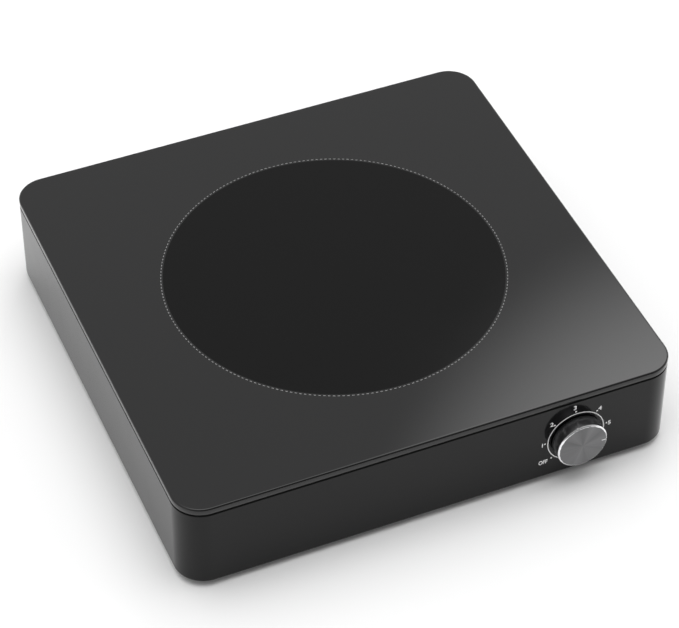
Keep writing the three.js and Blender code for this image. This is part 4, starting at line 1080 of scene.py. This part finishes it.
def dress_cad():
    """Gives every CAD node that stays visible the finish of its slot."""
    slot_of = {row["node"]: row["material_slot"] for row in frame["record"]["subparts"]}
    finishes = {
        "zinc_steel": ZINC,
        "aluminised_steel": aluminised_steel(),
        "fibre_insulation": fibre_board(),
        "heater_alloy": heater_alloy(),
        "steatite": steatite(),
        "brown_phenolic": brown_phenolic(),
        "contact_brass": BRASS,
        "spring_steel": spring_steel(),
        "pale_plastic": pale_plastic(),
        "black_plastic": PLASTIC,
        "red_silicone": silicone_sleeve("red_silicone", (0.35, 0.05, 0.035)),
        "blue_silicone": silicone_sleeve("blue_silicone", (0.03, 0.08, 0.26)),
        "white_silicone": silicone_sleeve("white_silicone", (0.66, 0.66, 0.63)),
        "green_yellow": silicone_sleeve("green_yellow", (0.3, 0.42, 0.03)),
    }
    for name, piece in frame["nodes"].items():
        if piece.hide_render:
            continue
        piece.data.materials.clear()
        piece.data.materials.append(finishes[slot_of[name]])


# ---- Floor, world and light -----------------------------------------------------------------

FLOOR_HALF = 4000
GLOW_AZIMUTH = 36.4
GLOW_ELEVATION = 49.1
GLOW_OUTER = 8.6
GLOW_INNER = 4.2
GLOW_STRENGTH = 2.9
SKY_STARTS = 0.79
SKY_LOW = 0.8
SKY_HIGH = 3.6
FRONT_STARTS = -0.85
FRONT_ENDS = -0.25
FRONT_SHARE = 0.3


def add_floor():
    """A broad matt white floor at the height of the feet."""
    half = FLOOR_HALF
    corners = [(-half, -half, 0), (half, -half, 0), (half, half, 0), (-half, half, 0)]
    finish = Finish("pale_floor", (0.86, 0.86, 0.86), 0.6, Specular_IOR_Level=0.2)
    floor = new_mesh("floor", corners, [(0, 1, 2, 3)], finish.material)


def stepped(nodes, links, value, start, end, low, high):
    """value eased from low at start to high at end, as a node's output."""
    node = nodes.new("ShaderNodeMapRange")
    node.interpolation_type = "SMOOTHSTEP"
    node.inputs["From Min"].default_value = start
    node.inputs["From Max"].default_value = end
    node.inputs["To Min"].default_value = low
    node.inputs["To Max"].default_value = high
    links.new(value, node.inputs["Value"])
    return node.outputs["Result"]


def add_world():
    """A soft white room, brighter overhead, with one broad glow high at the back right."""
    world = bpy.data.worlds.new("studio")
    bpy.context.scene.world = world
    world.use_nodes = True
    nodes = world.node_tree.nodes
    links = world.node_tree.links
    background = nodes["Background"]
    direction = nodes.new("ShaderNodeTexCoord").outputs["Generated"]
    azimuth = math.radians(GLOW_AZIMUTH)
    elevation = math.radians(GLOW_ELEVATION)
    aim = nodes.new("ShaderNodeVectorMath")
    aim.operation = "DOT_PRODUCT"
    aim.inputs[1].default_value = (
        math.sin(azimuth) * math.cos(elevation),
        math.cos(azimuth) * math.cos(elevation),
        math.sin(elevation),
    )
    links.new(direction, aim.inputs[0])
    outer = math.cos(math.radians(GLOW_OUTER))
    inner = math.cos(math.radians(GLOW_INNER))
    glow = stepped(nodes, links, aim.outputs["Value"], outer, inner, 0.0, GLOW_STRENGTH)
    split = nodes.new("ShaderNodeSeparateXYZ")
    links.new(direction, split.inputs["Vector"])
    sky = stepped(nodes, links, split.outputs["Z"], SKY_STARTS, 1.0, SKY_LOW, SKY_HIGH)
    front = stepped(nodes, links, split.outputs["Y"], FRONT_STARTS, FRONT_ENDS, FRONT_SHARE, 1.0)
    shaded = nodes.new("ShaderNodeMath")
    shaded.operation = "MULTIPLY"
    links.new(sky, shaded.inputs[0])
    links.new(front, shaded.inputs[1])
    total = nodes.new("ShaderNodeMath")
    total.operation = "ADD"
    links.new(shaded.outputs["Value"], total.inputs[0])
    links.new(glow, total.inputs[1])
    links.new(total.outputs["Value"], background.inputs["Strength"])
    background.inputs["Color"].default_value = (1, 1, 1, 1)
    bpy.context.scene.view_settings.view_transform = "Standard"


# ---- Making everything ----------------------------------------------------------------------

add_camera()
BLACK_GLASS = black_glass()
PAN_REFLECTION_GLASS = pan_reflection_glass()
BLACK_ENAMEL = black_enamel()
BASE_ENAMEL = base_enamel()
SPUN = spun_aluminium()
RIM = polished_rim()
SKIRT = dark_skirt()
PLASTIC = plain_black_plastic()
RUBBER = foot_rubber()
SEAL = seal_silicone()
ZINC = zinc_steel()
BRASS = contact_brass()
WHITE_INK = print_ink("white_ink", 0.92)
PALE_INK = print_ink("pale_ink", 0.19)

glass_plate()
pan_reflection_disc()
zone_ring()
glass_seal()
housing()
base_cover()
for corner_name in CORNERS:
    rubber_foot(corner_name)
add_screws()
knob_cap()
pointer_fill()
knob_hub()
bush_nut = hex_nut("bush_hex_nut", NUT_LOW.y, NUT_HIGH.y, NUT_ACROSS_FLATS, NUT_BORE, KNOB_CENTRE)
settle(bush_nut, "root", "zinc_steel", "bush_nut")
dial_print()
cord_gland()
gland_cap()
dress_cad()
add_floor()
add_world()
